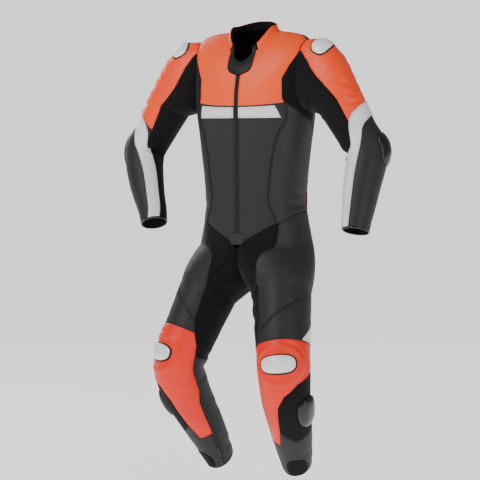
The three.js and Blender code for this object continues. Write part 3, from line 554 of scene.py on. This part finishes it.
def sheetPiece(name, kind, side, look, left, right, top, bottom, opt=None):
    opt = opt or {}
    f = surfaces[kind]
    thick = opt.get("thick", suit["leatherWall"]) * 1000
    lift = opt.get("lift", 0) * 1000
    cell = opt.get("cell", suit["cell"]) * 1000
    seam = suit["seam"] * 1000
    start = 0.5 * (left(0.0) + right(0.0))

    def ends(p, edge):
        v = np.full_like(p, float(edge(start)))
        for _ in range(12):
            v = edge(left(v) + (right(v) - left(v)) * p)
        return v

    probe = np.linspace(0, 1, 41)
    t0, b0 = ends(probe, top), ends(probe, bottom)
    lo, hi = float(t0.min()), float(b0.max())
    rowsV = np.linspace(lo, hi, 61)
    edgeLeft = f(side, left(rowsV), rowsV)
    edgeRight = f(side, right(rowsV), rowsV)
    height = max(np.linalg.norm(np.diff(e, axis=0), axis=1).sum() for e in (edgeLeft, edgeRight))
    widths = []
    for v in np.linspace(lo, hi, 9):
        u = np.linspace(float(left(v)), float(right(v)), 40)
        widths.append(np.linalg.norm(np.diff(f(side, u, np.full(40, v)), axis=0), axis=1).sum())
    width = max(widths)
    p = spread(width, cell, suit["seamWidth"] * 1000)
    r = spread(height, opt.get("rowCell", cell / 1000) * 1000, suit["seamWidth"] * 1000)
    if "cols" in opt:
        p = np.linspace(0, 1, opt["cols"] + 1)
    t0, b0 = ends(p, top), ends(p, bottom)
    t0 = t0 + seam / np.linalg.norm(frameAt(kind, side, mix(left(t0), right(t0), p), t0)[1], axis=-1)
    b0 = b0 - seam / np.linalg.norm(frameAt(kind, side, mix(left(b0), right(b0), p), b0)[1], axis=-1)
    v = t0[None] + (b0 - t0)[None] * r[:, None]
    uLeft, uRight = left(v), right(v)
    inset = seam / np.linalg.norm(frameAt(kind, side, uLeft, v)[0], axis=-1)
    uLeft, uRight = uLeft + inset, uRight - inset
    cross = uRight < uLeft
    middle = (uLeft + uRight) / 2
    uLeft, uRight = np.where(cross, middle, uLeft), np.where(cross, middle, uRight)
    u = uLeft + (uRight - uLeft) * p[None]
    base = f(side, u, v)
    n = outward(kind, side, u, v)
    # distance to the rims
    rowSteps = np.linalg.norm(np.diff(base, axis=1), axis=2)
    fromLeft = np.concatenate([np.zeros((len(r), 1)), np.cumsum(rowSteps, 1)], 1)
    fromRight = fromLeft[:, -1:] - fromLeft
    colSteps = np.linalg.norm(np.diff(base, axis=0), axis=2)
    fromTop = np.concatenate([np.zeros((1, len(p))), np.cumsum(colSteps, 0)], 0)
    fromBottom = fromTop[-1:] - fromTop
    rims = {"left": fromLeft, "right": fromRight, "top": fromTop, "bottom": fromBottom}
    flatRims = opt.get("flatRims", ())
    rim = np.min([d if k not in flatRims else np.full_like(d, 99) for k, d in rims.items()], axis=0)
    dip = suit["seamDip"] * 1000 * np.exp(-(rim / (suit["seamWidth"] * 1000 * 0.8)) ** 2)
    if opt.get("overlay"):
        dip = 0.6 * thick * np.exp(-(rim / (0.7 * thick)) ** 2)
    soft = np.clip(rim / 14, 0, 1)
    creased = {"stretch": 1.2, "orangeSleeve": 1.3, "leather": 0.55}.get(look, 0.8) * opt.get("crease", 1)
    shape = -dip - creaseDepth(kind, side, base) * (0.35 + 0.65 * soft) * creased
    shape = shape + unevenness(base) * opt.get("uneven", 0.5) * soft
    if opt.get("raise"):
        shape = shape + opt["raise"](u, v, base)
    outer = base + n * (lift + shape)[..., None]
    innerShape = 0 * shape if opt.get("overlay") else np.minimum(shape, 0)
    inner = base + n * (lift - thick + innerShape)[..., None]
    if kind == "leg":
        for grid in (outer, inner):
            grid[..., 0] = side * np.maximum(side * grid[..., 0], seam)
    uv = np.stack([fromLeft / 1000, fromTop / 1000], -1).reshape(-1, 2)
    faces = shellFaces(len(r), len(p), turnOf(kind, side) < 0)
    o = clothPiece(name, outer, inner, faces, uv, look)
    long = height / 1000
    area = clothArea(base)
    wide = max(width / 1000, area / long * 0.999)
    if area < 0.3 * wide * long:
        # a piece with long narrow ends gets a narrower width
        wide = area / 0.32 / long
    # stitch lines a little inside the rims
    colour = "orange" if look.startswith("orange") else "white" if look == "white" else "dark"
    shift = thread["inset"] * 1000
    for rimName, d in rims.items():
        if rimName in flatRims or rimName in opt.get("noStitch", ()) or look in ("stretch", "zip", "red"):
            continue
        grids = (outer, n, d)
        if rimName in ("top", "bottom"):
            grids = [g.swapaxes(0, 1) for g in grids]
        path = stitchLine(*grids, shift, rimName in ("right", "bottom"))
        if len(path) > 3:
            seamLines[colour].append(path)
    return o


def overlayPiece(name, kind, side, look, centre, shape, opt=None):
    opt = opt or {}
    rings, count = opt.get("rings", 14), opt.get("around", 56)
    f = surfaces[kind]
    thick, lift = opt.get("thick", 0.0014) * 1000, opt.get("lift", suit["lift"]) * 1000
    a = np.linspace(0, 360, count, endpoint=False)
    eu, ev = shape(a)
    r = np.sin(np.linspace(0, 90, rings + 1) * math.pi / 180)
    u = centre[0] + (eu - centre[0])[None] * r[:, None]
    v = centre[1] + (ev - centre[1])[None] * r[:, None]
    base = f(side, u, v)
    n = outward(kind, side, u, v)
    size = np.linalg.norm(base[-1] - base[0, 0], axis=1).mean()
    rimRound = np.sqrt(np.clip((1 - r) * size / opt.get("rim", 2.0), 0, 1))
    top = lift + (thick + opt.get("dome", lambda k: 0 * k)(r)) * rimRound
    outer = base + n * top[:, None, None]
    inner = base + n * lift
    uv = np.stack([np.linalg.norm(base - base[:, :1], axis=2), np.linalg.norm(base - base[:1], axis=2)], -1)
    uv = uv.reshape(-1, 2) / 1000
    probe = np.cross(base[1, 0] - base[0, 0], base[1, count // 4] - base[0, 0])
    rising = np.dot(probe, n[0, 0]) > 0
    faces = shellFaces(len(r), count, rising, loop=True)
    o = clothPiece(name, outer, inner, faces, uv, look, opt.get("replace", True))
    return o


def oval(u, v, ru, rv, k=1):
    return lambda a: (u + ru * power(cosD(a), k), v + rv * power(sinD(a), k))


def const(x):
    return lambda v: x + 0 * np.asarray(v, float)


def rows(table):
    return lambda v: line(table, v)


def capRise(height, flat=0.0):
    return lambda r: height * (1 - np.clip((r - flat) / (1 - flat), 0, 1) ** 2)


# Seams on the body
holeLevels = [float(holeV(q)) for q in range(0, 181, 20)]
bibRows = [[1, 46], [1.6, 46], [2.3, 45], [2.7, 42], [3, 34], [3.3, 7.5]]


def bibEdge(v):
    return angleAt(line(bibRows, v), v)


def zipEdge(v):
    return angleAt(const(7.0)(v), v)


chestRows = [[holeLevels[2], float(holeT(40))], [holeLevels[3], 52], [holeLevels[4], 43], [holeLevels[6], 44],
             [6.5, 47], [holeLevels[9], 66], [7.6, 92]]
frontRows = [[6.5, 47], [7, 50], [7.6, 50], [8.2, 41], [8.8, 37], [10, 34], [10.5, 39], [11, 43], [11.5, 45]]
sideRows = [[7, 92], [7.6, 92], [8.2, 102], [9.4, 114], [11, 117]]
chestSeam, frontSeam, sideSeam = rows(chestRows), rows(frontRows), rows(sideRows)


def shoulderEdge(v):
    v = np.asarray(v, float)
    return np.where(v <= holeLevels[0], 90, np.where(v <= holeLevels[2], holeFront(v), chestSeam(v)))


def frontHole(v):
    v = np.asarray(v, float)
    return np.where(v <= 7, holeFront(v), sideSeam(v))


def yokeBack(v):
    v = np.asarray(v, float)
    return np.where(v <= holeLevels[0], 90, np.where(v <= 7, 180 - holeFront(v), sideSeam(v)))


def chestUnder(u):
    return line([[r[1], r[0]] for r in chestRows[4:]], np.abs(u))


def innerEdge(v):
    v = np.asarray(v, float)
    return np.where(v < 3.3, bibEdge(v), zipEdge(v))


stretchWall = {"thick": suit["stretchWall"]}
sewnOn = {"thick": 0.0013, "lift": 0.0016, "overlay": True, "held": "laid"}
chestBand = {1: (36, 44), -1: (40, 45)}
for side, tag in sides:
    def pair(a, b, s=side):
        lo, hi = (a, b) if s > 0 else (b, a)
        return (lambda v: s * lo(v)), (lambda v: s * hi(v))

    sheetPiece(f"yoke_front_{tag}", "body", 1, "orange", *pair(innerEdge, shoulderEdge), const(1), const(6.5))
    sheetPiece(f"chest_stretch_{tag}", "body", 1, "stretch", *pair(chestSeam, frontHole),
               const(holeLevels[2]), const(7.6), stretchWall)
    sheetPiece(f"front_{tag}", "body", 1, "leather", *pair(zipEdge, frontSeam), const(6.5), waistLine)
    sheetPiece(f"side_{tag}", "body", 1, "leather", *pair(frontSeam, sideSeam), chestUnder, waistLine)
    bandStart = lambda v: zipEdge(v) + 0.4
    bandEnd = lambda v, b=chestBand[side]: mix(b[0], b[1], (v - 6.6) / 0.8)
    sheetPiece(f"chest_band_{tag}", "body", 1, "white", *pair(bandStart, bandEnd), const(6.62), const(7.42),
               {**sewnOn, "rests": [f"front_{tag}_look"]})


def around(edge):
    return (lambda v: edge(v)), (lambda v: 360 - edge(v))


sheetPiece("back_yoke", "body", 1, "leather", *around(yokeBack), const(1), const(holeLevels[4]))
sheetPiece("back_main", "body", 1, "leather", *around(yokeBack), const(holeLevels[4]), const(9.4))
waistRidge = lambda u, v, b: 2.4 * np.abs(np.sin((v - 9.4) * math.pi / 0.16)) ** 0.8 * (v < 10.48)
sheetPiece("back_waist", "body", 1, "stretch", *around(sideSeam), const(9.4), waistLine,
           {**stretchWall, "raise": waistRidge, "rowCell": 0.003})
sheetPiece("collar", "body", 1, "orange", const(34.5), const(325.5), const(0), const(1), {"uneven": 0.25})
sheetPiece("neck_lining", "body", 1, "stretch", const(35), const(325), const(0.06), const(0.97),
           {"thick": 0.001, "lift": -0.0026, "uneven": 0, "crease": 0, "held": "laid",
            "rests": ["collar_look"]})
print("body panels")

# Neck facing: two arms beside the collar and a rounded tongue below
facingOuter = [[42, 0.02], [46, 0.5], [46, 1], [46, 1.6], [45, 2.3], [42, 2.7], [34, 3], [19, 3.22], [0, 3.3]]
facingInner = [[31, 0.02], [33, 0.5], [33, 0.95], [28, 1.2], [21, 1.36], [13, 1.5], [8, 1.58], [3, 1.63],
               [0, 1.64]]
steps = np.linspace(0, 16, 161)
mirror = np.abs(steps - 8)


def facingEdge(table):
    p = along(np.array(table, float), 8 - mirror)
    return np.sign(8 - steps) * p[:, 0] * (mirror > 0), p[:, 1]


ou, ov = facingEdge(facingOuter)
iu, iv = facingEdge(facingInner)
share = np.concatenate([[0, 0.03], np.linspace(0.08, 0.92, 9), [0.97, 1]])
x = iu[:, None] + (ou - iu)[:, None] * share[None]
v = iv[:, None] + (ov - iv)[:, None] * share[None]
u = np.sign(x) * angleAt(np.abs(x), v)
base = body(1, u, v)
n = outward("body", 1, u, v)
rim = np.minimum(share, 1 - share)[None] * np.linalg.norm(base[:, -1] - base[:, 0], axis=1)[:, None]
puff = 2.6 * np.exp(-(((v - 2.55) / 0.5) ** 2)) * np.exp(-((x / 30) ** 2))
shape = 0.9 - 1.3 * np.exp(-((rim / 2.2) ** 2)) + puff
outer, inner = base + n * shape[..., None], base - n * 2.2
uv = np.stack([x, v * 40], -1).reshape(-1, 2) / 1000
low, middle = len(steps) // 2, len(share) // 2
wayAcross = outer[low, middle + 1] - outer[low, middle - 1]
rising = np.cross(wayAcross, outer[low + 4, middle] - outer[low, middle])
faces = shellFaces(len(steps), len(share), np.dot(rising, n[low, middle]) < 0)
facing = clothPiece("neck_facing", outer, inner, faces, uv, "leatherDark")

sheetPiece("front_zip", "body", 1, "zip", lambda v: -zipEdge(v), zipEdge, const(3.34), const(11.55),
           {**stretchWall, "cols": 8, "uneven": 0, "crease": 0.6, "noStitch": ("top", "bottom")})
tabWide = float(angleAt(27.0, 11.5))
overlayPiece("zip_tab", "body", 1, "leather", (0, 11.55),
             lambda a: (tabWide * power(cosD(a), 0.8),
                        11.55 + np.where(sinD(a) > 0, 0.36, 0.14) * power(sinD(a), 0.9)),
             {"lift": 0.0009, "thick": 0.0016, "dome": capRise(2.0),
              "soft": ["front_left_look", "front_right_look"]})
overlayPiece("side_label", "body", 1, "red", (108.5, 10.05), oval(108.5, 10.05, 4.2, 0.26, 0.25),
             {"lift": 0.0008, "thick": 0.001, "rim": 0.6, "soft": ["side_left_look"]})


def cordPiece(name, path, radius, look, closed=False):
    path = np.asarray(path, float)
    ahead = np.roll(path, -1, 0) - np.roll(path, 1, 0) if closed else np.gradient(path, axis=0)
    ahead = unit(ahead)
    side = unit(np.cross(ahead, [0.2, 0.3, 0.93]))
    up = np.cross(side, ahead)
    a = np.radians(np.arange(0, 360, 45))
    out = np.cos(a)[None, :, None] * side[:, None] + np.sin(a)[None, :, None] * up[:, None]
    ring = path[:, None] + radius * out
    count = len(path)
    j, i = np.meshgrid(np.arange(count if closed else count - 1), np.arange(8), indexing="ij")
    k = (j + 1) % count
    n = (i + 1) % 8
    quads = np.stack([k * 8 + i, k * 8 + n, j * 8 + n, j * 8 + i], -1).reshape(-1, 4).tolist()
    if not closed:
        quads += [list(range(8)), [8 * count - 1 - i for i in range(8)]]
    return makeObject(name, ring.reshape(-1, 3).tolist(), quads, None, look)


# Sleeves
backSeam = -100
shoulderCup = (17, 0.27)
armour = {"thick": 0.0025, "lift": 0.0006, "rim": 2.4}
sleeveSeams = {
    1: {
        "front": [[0, 40], [0.1, 55], [0.3, 66], [0.5, 70], [1.8, 73]],
        "middle": [[1.8, 73], [2.2, 78], [2.6, 90], [3, 105], [3.4, 113], [4, 119], [6, 123]],
        "stripeIn": [[-75, 1.28], [-45, 1.27], [-14, 1.36], [30, 1.5], [62, 1.66], [80, 1.95],
                     [104, 2.6], [134, 3.3], [142, 4.1], [148, 5], [150, 5.86]],
        "stripeOut": [[-75, 1.7], [-45, 1.72], [-17, 1.8], [18, 1.96], [42, 2.12], [58, 2.35],
                      [76, 2.8], [91, 3.4], [94, 4.1], [96, 5], [97, 5.86]],
    },
    -1: {
        "front": [[0, 40], [0.1, 58], [0.3, 72], [0.5, 82], [1.1, 100], [1.8, 106]],
        "middle": [[1.8, 106], [2.6, 115], [3, 124], [4, 140], [5.4, 134], [6, 126]],
        "stripeIn": [[-75, 1.32], [-45, 1.34], [-14, 1.42], [30, 1.55], [66, 1.7], [96, 1.92],
                     [116, 2.4], [146, 3.3], [164, 4], [162, 4.9], [152, 5.86]],
        "stripeOut": [[-75, 1.8], [-45, 1.84], [-14, 1.94], [24, 2.1], [52, 2.3], [74, 2.6],
                      [90, 2.95], [110, 3.45], [121, 4.1], [114, 4.9], [100, 5.86]],
    },
}


def stripPiece(name, kind, side, look, outRows, inRows, lift, thick):
    outRows, inRows = np.array(outRows, float), np.array(inRows, float)
    s = np.linspace(0, len(outRows) - 1, 150)
    a, b = along(outRows, s), along(inRows, s)
    share = np.concatenate([[0, 0.02, 0.05], np.linspace(0.12, 0.88, 7), [0.95, 0.98, 1]])
    u = a[:, :1] + (b - a)[:, :1] * share[None]
    v = a[:, 1:] + (b - a)[:, 1:] * share[None]
    f = surfaces[kind]
    base = f(side, u, v)
    n = outward(kind, side, u, v)
    rim = np.minimum(share, 1 - share)[None] * np.linalg.norm(base[:, -1] - base[:, 0], axis=1)[:, None]
    shape = lift + thick - 0.7 * thick * np.exp(-((rim / 1.3) ** 2)) - 0.7 * creaseDepth(kind, side, base)
    shape = shape + 0.25 * unevenness(base)
    outer = base + n * shape[..., None]
    inner = base + n * (lift - 0.7 * creaseDepth(kind, side, base) - 0.4)[..., None]
    ru = np.concatenate([[0], np.cumsum(np.linalg.norm(np.diff(base[:, 6], axis=0), axis=1))])
    uv = np.stack([np.broadcast_to(share * 40, u.shape), np.broadcast_to(ru[:, None], u.shape)], -1)
    uv = uv.reshape(-1, 2) / 1000
    normal = np.cross(outer[60, 7] - outer[60, 5], outer[64, 6] - outer[60, 6])
    faces = shellFaces(len(s), len(share), np.dot(normal, n[60, 6]) < 0)
    o = clothPiece(name, outer, inner, faces, uv, look)
    for k in (2, 10):
        seamLines["white"].append([q / 1000 for q in (outer[2:-2, k] + n[2:-2, k] * threadLift)])
    return o


for side, tag in sides:
    s = sleeveSeams[side]
    frontLine = lambda v, s=s: np.where(np.asarray(v) <= 1.8, line(s["front"], v), line(s["middle"], v))
    middleLine = lambda v, s=s: line(s["middle"], v)
    across = lambda u, s=s: 1.5 + 0.3 * np.clip((u - backSeam) / (s["front"][-1][1] - backSeam), 0, 1)

    def armRidge(u, v, b):
        wave = np.abs(np.sin((v - 0.5) * math.pi / 0.1333)) ** 0.8 * (v > 0.5) * (v < 1.3)
        return 2.6 * wave * np.clip((u + 80) / 15, 0, 1) * np.clip((58 - u) / 15, 0, 1)

    sheetPiece(f"sleeve_outer_{tag}", "sleeve", side, "orangeSleeve", const(backSeam), frontLine, const(0),
               across, {"raise": armRidge, "rowCell": 0.0045})
    sheetPiece(f"sleeve_inner_{tag}", "sleeve", side, "stretch", frontLine, const(360 + backSeam), const(0),
               const(5.9), stretchWall)
    sheetPiece(f"forearm_outer_{tag}", "sleeve", side, "leather", const(backSeam), middleLine, across,
               const(5.9))
    stripPiece(f"sleeve_stripe_{tag}", "sleeve", side, "white", s["stripeOut"], s["stripeIn"], 1.2, 1.4)
    a = np.linspace(0, 360, 72, endpoint=False)
    ring = np.radians(np.linspace(0, 360, 14, endpoint=False))
    vRing = 5.98 + 0.11 * np.cos(ring)
    outRing = -0.8 + 2.6 * np.sin(ring)
    u, v = np.broadcast_arrays(a[None], vRing[:, None])
    base = sleeve(side, u, v)
    n = outward("sleeve", side, u, v)
    cuff = base + n * outRing[:, None, None]
    jj, ii = np.meshgrid(np.arange(14), np.arange(72), indexing="ij")
    nextI, nextJ = (ii + 1) % 72, (jj + 1) % 14
    quads = np.stack([jj * 72 + ii, jj * 72 + nextI, nextJ * 72 + nextI, nextJ * 72 + ii], -1).reshape(-1, 4)
    probe = np.cross(cuff[3, 1] - cuff[3, 0], cuff[4, 0] - cuff[3, 0])
    if np.dot(probe, n[3, 0]) < 0:
        quads = quads[:, ::-1]
    verts = (cuff.reshape(-1, 3) / 1000).tolist()
    o = makeObject(f"cuff_{tag}_look", verts, quads.tolist(), None, "hardBlack")
    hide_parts(f"cuff_{tag}")
    overlayPiece(f"shoulder_cup_{tag}", "sleeve", side, "hardWhite", shoulderCup,
                 oval(*shoulderCup, 24, 0.13, 0.75), {**armour, "dome": capRise(7.0)})
    overlayPiece(f"elbow_cap_{tag}", "sleeve", side, "hardBlack", (-8, 3), oval(-8, 3, 34, 0.42, 0.8),
                 {**armour, "dome": capRise(9.0)})
for side, tag in sides:
    q = np.linspace(0, 360, 180, endpoint=False)
    p = body(1, holeT(q), holeV(q))
    p = p - outward("body", 1, holeT(q), holeV(q)) * 2.0
    cordPiece(f"armhole_tape_{tag}", p * [side, 1, 1] / 1000, cords["tape"], "zip", True)
    overlayPiece(f"shoulder_rim_{tag}", "sleeve", side, "leatherDark", shoulderCup,
                 oval(*shoulderCup, 26, 0.146, 0.75),
                 {"thick": 0.0014, "lift": 0.0004, "dome": capRise(4.0), "rim": 2.0, "replace": False})
    v = np.linspace(6.7, 11.4, 160)
    v = v[v < waistLine(frontSeam(v)) - 0.02]
    t = side * frontSeam(v)
    p = body(1, t, v) - outward("body", 1, t, v) * 0.7
    cordPiece(f"front_piping_{tag}", p / 1000, cords["piping"], "leatherDark")
print("sleeves")

# Legs
outSeam = -25
innerFrontRows = [[0, 50], [0.1, 60], [0.25, 80], [0.45, 89], [0.7, 97], [1, 110], [2, 116], [2.4, 128],
                  [2.8, 145], [3.2, 150]]
innerBackRows = [[0.1, 255], [1, 245], [2, 238], [3.2, 236]]
shinOutRows = [[3.8, -25], [4.1, 33], [4.4, 62], [4.8, 78], [5.6, 86], [6.12, 97]]
shinInRows = [[3.2, 150], [4.4, 156], [4.8, 156], [5.2, 144], [8, 121]]
calfInRows = [[3.2, 150], [4.4, 156], [5.2, 156], [8, 133]]
sliderBackRows = [[3.8, -25], [4.1, -48], [4.4, -60]]
ankleRows = [[-60, 5.7], [-6, 5.86], [47, 5.94], [86, 5.6], [97, 6.12]]
kneeTop = {1: 2.7, -1: 2.4}
kneeCup = {1: (74, 3.48), -1: (54, 3.36)}


def hem(u):
    return 8 + 0.45 * sinD(u)


for side, tag in sides:
    top = kneeTop[side]
    cup = kneeCup[side]
    thighSeam = lambda u, top=top: top - 0.42 - 0.94 * np.clip((110 - u) / 88, 0, 1.4)

    def thighCrease(u, v, b, seam=thighSeam):
        return -1.2 * np.exp(-(((v - seam(u)) * 95 / 6) ** 2)) * (u > 0)

    def kneeRing(u, v, b, cup=cup, side=side):
        r = np.hypot((u - cup[0]) / 62, (v - cup[1]) / 0.62)
        first = 3.6 * np.exp(-(((r - 0.93) / 0.13) ** 2))
        second = 2.4 * np.exp(-(((r - 1.32) / 0.11) ** 2)) * np.clip((cup[0] + 30 - u) / 40, 0, 1)
        return first + second

    sheetPiece(f"thigh_front_{tag}", "leg", side, "leather", const(outSeam), rows(innerFrontRows), const(0),
               const(top), {"raise": thighCrease})
    sheetPiece(f"inner_stretch_{tag}", "leg", side, "stretch", rows(innerFrontRows), rows(innerBackRows),
               lambda u: np.clip((u - 97) / 80, 0, 0.1), const(3.2), stretchWall)
    sheetPiece(f"thigh_back_{tag}", "leg", side, "leather", rows(innerBackRows), const(360 + outSeam),
               const(0), const(3.2))
    kneeSide = lambda v: np.where(np.asarray(v) < 3.8, outSeam, line(shinOutRows, v))
    kneeIn = lambda v: np.where(np.asarray(v) < 3.2, line(innerFrontRows, v), line(shinInRows, v))
    # the knee and shin panels take the darker leg orange, a painted shade
    sheetPiece(f"knee_{tag}", "leg", side, "orangeLeg", kneeSide, kneeIn, const(top), const(4.4),
               {"raise": kneeRing, "cell": 0.005, "flatRims": ("bottom",)})
    sheetPiece(f"shin_{tag}", "leg", side, "orangeLeg", rows(shinOutRows), rows(shinInRows), const(4.4),
               const(6.12), {"flatRims": ("top",)})
    sheetPiece(f"slider_panel_{tag}", "leg", side, "stretch", rows(sliderBackRows), rows(shinOutRows),
               const(3.8), lambda u: line(ankleRows, np.minimum(u, 86)))
    sheetPiece(f"ankle_front_{tag}", "leg", side, "leather", const(-60), rows(shinInRows),
               rows(ankleRows), hem)
    sheetPiece(f"calf_{tag}", "leg", side, "leatherSoft", rows(calfInRows),
               lambda v: 360 + np.where(np.asarray(v) < 3.8, outSeam, line(sliderBackRows, v)),
               const(3.2), hem)
    sheetPiece(f"calf_zip_{tag}", "leg", side, "zip", rows(shinInRows), rows(calfInRows), const(4.8), hem,
               {**stretchWall, "cols": 8, "uneven": 0})
    overlayPiece(f"knee_cup_{tag}", "leg", side, "hardWhite", cup, oval(*cup, 40, 0.27, 0.7),
                 {"thick": 0.003, "lift": 0.0012, "dome": capRise(6.0), "rim": 2.6})
    overlayPiece(f"knee_rim_{tag}", "leg", side, "leatherDark", cup, oval(*cup, 43.5, 0.305, 0.7),
                 {"thick": 0.0018, "lift": 0.0006, "dome": capRise(4.0), "rim": 2.0, "replace": False})
    u = np.linspace(112, 24, 120)
    v = thighSeam(u)
    n = outward("leg", side, u, v)
    p = leg(side, u, v)
    cordPiece(f"thigh_seam_{tag}", (p - n * 0.6) / 1000, cords["thighSeam"], "leatherDark")
    for shift in (-5, 5):
        w = v + shift / 95
        seamLines["dark"].append([k / 1000 for k in leg(side, u, w) + n * 0.1])
    wedgeTop = lambda u, top=top: top - 0.06 - 1.1 * np.clip(14 - u, 0, 64) / 64
    sheetPiece(f"knee_wedge_{tag}", "leg", side, "white", const(-50), const(14), wedgeTop, const(top - 0.04),
               {**sewnOn, "rests": [f"thigh_front_{tag}_look"]})
    overlayPiece(f"ankle_insert_{tag}", "leg", side, "stretch", (57, 7.48), oval(57, 7.48, 41, 0.74, 0.7),
                 {"lift": 0.0009, "thick": 0.0012, "rim": 1.5, "soft": [f"ankle_front_{tag}_look"]})
    overlayPiece(f"slider_{tag}", "leg", side, "hardBlack", (4, 5.12), oval(4, 5.12, 30, 0.46, 0.8),
                 {"thick": 0.007, "lift": 0.0008, "dome": capRise(12.0, 0.25), "rim": 5.0})
print("legs")


# Stitches along the seams, and teeth along the zips
def repeatAlong(name, paths, look, size, pitch):
    verts, edges = [], []
    for path in paths:
        k = len(verts)
        verts += [tuple(float(c) for c in p) for p in path]
        edges += [(k + i, k + i + 1) for i in range(len(path) - 1)]
    mesh = bpy.data.meshes.new(name)
    mesh.from_pydata(verts, edges, [])
    o = bpy.data.objects.new(name, mesh)
    bpy.context.scene.collection.objects.link(o)
    tree = bpy.data.node_groups.new(name + "Nodes", "GeometryNodeTree")
    tree.interface.new_socket("Geometry", in_out="INPUT", socket_type="NodeSocketGeometry")
    pitchSocket = tree.interface.new_socket("Pitch", in_out="INPUT", socket_type="NodeSocketFloat")
    pitchSocket.default_value = pitch
    tree.interface.new_socket("Geometry", in_out="OUTPUT", socket_type="NodeSocketGeometry")
    n = tree.nodes
    start, end = n.new("NodeGroupInput"), n.new("NodeGroupOutput")
    toCurve = n.new("GeometryNodeMeshToCurve")
    points = n.new("GeometryNodeResampleCurve")
    if "Mode" in points.inputs:
        points.inputs["Mode"].default_value = "Length"
    else:
        points.mode = "LENGTH"
    tangent = n.new("GeometryNodeInputTangent")
    align = n.new("FunctionNodeAlignRotationToVector")
    if hasattr(align, "axis"):
        align.axis = "X"
    box = n.new("GeometryNodeMeshCube")
    box.inputs["Size"].default_value = size
    place = n.new("GeometryNodeInstanceOnPoints")
    real = n.new("GeometryNodeRealizeInstances")
    paint = n.new("GeometryNodeSetMaterial")
    paint.inputs["Material"].default_value = materials[look]
    wire(tree,
         (start, "Geometry", toCurve, "Mesh"), (toCurve, "Curve", points, "Curve"),
         (start, "Pitch", points, "Length"), (tangent, "Tangent", align, "Vector"),
         (points, "Curve", place, "Points"), (box, "Mesh", place, "Instance"),
         (align, "Rotation", place, "Rotation"), (place, "Instances", real, "Geometry"),
         (real, "Geometry", paint, "Geometry"), (paint, "Geometry", end, "Geometry"))
    modifier = o.modifiers.new("repeat", "NODES")
    modifier.node_group = tree
    modifier[pitchSocket.identifier] = pitch
    bpy.context.view_layer.update()
    made = bpy.data.meshes.new_from_object(o.evaluated_get(bpy.context.evaluated_depsgraph_get()))
    o.modifiers.clear()
    o.data = made
    if not made.materials:
        made.materials.append(materials[look])
    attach(o, "root")
    print(name, len(made.polygons))
    return o


# the orange thread takes the darker leg orange, a painted shade
threadLook = {"orange": "orangeLeg", "dark": "zip", "white": "leatherSoft"}
for name, paths in seamLines.items():
    size = (thread["length"], thread["width"], thread["width"])
    repeatAlong("stitches_" + name, paths, threadLook[name], size, thread["pitch"])


def zipPath(kind, side, centreLine, v0, v1):
    v = np.linspace(v0, v1, 200)
    u = centreLine(v)
    n = outward(kind, side, u, v)
    return [q / 1000 for q in surfaces[kind](side, u, v) + n * zipTeeth["lift"] * 1000]


zipPaths = [zipPath("body", 1, const(0), 3.4, 11.2)]
for side in (1, -1):
    calfLine = lambda v: 0.5 * (line(shinInRows, v) + line(calfInRows, v))
    zipPaths.append(zipPath("leg", side, calfLine, 5.1, 7.9))
holes = []
for side in (1, -1):
    for u in range(100, 141, 5):
        v = np.linspace(4.7, 5.55 + 0.004 * (u - 100), 60)
        n = outward("leg", side, u + 0 * v, v)
        holes.append([k / 1000 for k in leg(side, u + 0 * v, v) + n * 0.05])
repeatAlong("perforations", holes, "zip", perforation["size"], perforation["pitch"])
repeatAlong("zip_teeth", zipPaths, "metal", zipTeeth["size"], zipTeeth["pitch"])
print("stitches and zips")

# Studio
floor = bpy.data.meshes.new("floor")
half = backdrop["half"]
corners = [(half * x, half * y, backdrop["height"]) for x, y in ((-1, -1), (1, -1), (1, 1), (-1, 1))]
floor.from_pydata(corners, [], [(0, 1, 2, 3)])
floorLook = bpy.data.materials.new("floorLook")
floorLook.use_nodes = True
paper = floorLook.node_tree.nodes["Principled BSDF"]
paper.inputs["Base Color"].default_value = (*[backdrop["grey"]] * 3, 1)
setSocket(paper, "Roughness", 1.0)
setSocket(paper, "Specular IOR Level", 0.0)
setSocket(paper, "Emission Color", (1, 1, 1, 1))
setSocket(paper, "Emission Strength", backdrop["glow"])
floor.materials.append(floorLook)
floorPiece = bpy.data.objects.new("floor", floor)
bpy.context.scene.collection.objects.link(floorPiece)

world = bpy.data.worlds.new("studio")
world.use_nodes = True
world.node_tree.nodes["Background"].inputs["Color"].default_value = (1, 1, 1, 1)
# The backdrop is seen brighter than it lights the suit
seen = world.node_tree.nodes.new("ShaderNodeLightPath")
bright = world.node_tree.nodes.new("ShaderNodeMath")
bright.operation = "MULTIPLY_ADD"
bright.inputs[1].default_value = backdrop["seen"]
bright.inputs[2].default_value = backdrop["light"]
sky = world.node_tree.nodes["Background"]
wire(world.node_tree, (seen, "Is Camera Ray", bright, 0), (bright, 0, sky, "Strength"))
bpy.context.scene.world = world


def lamp(name, place, size, energy):
    data = bpy.data.lights.new(name, "AREA")
    data.shape, data.size, data.size_y, data.energy = "RECTANGLE", size[0], size[1], energy
    o = bpy.data.objects.new(name, data)
    o.location = place
    direction = np.array(lampAim, float) - np.array(place, float)
    o.rotation_euler = mathutils.Vector(direction).to_track_quat("-Z", "Y").to_euler()
    bpy.context.scene.collection.objects.link(o)


for name, (place, size, energy) in lamps.items():
    lamp(name, place, size, energy)

view = bpy.data.cameras.new("view")
view.lens, view.sensor_width, view.sensor_height = camera["lens"], 36, 36
eye = bpy.data.objects.new("view", view)
a, e = math.radians(camera["azimuth"]), math.radians(camera["elevation"])
back = np.array([math.sin(a) * math.cos(e), -math.cos(a) * math.cos(e), math.sin(e)])
eye.location = np.array(camera["aim"]) + back * camera["distance"]
eye.rotation_euler = (math.pi / 2 - e, 0, a)
bpy.context.scene.collection.objects.link(eye)
bpy.context.scene.camera = eye
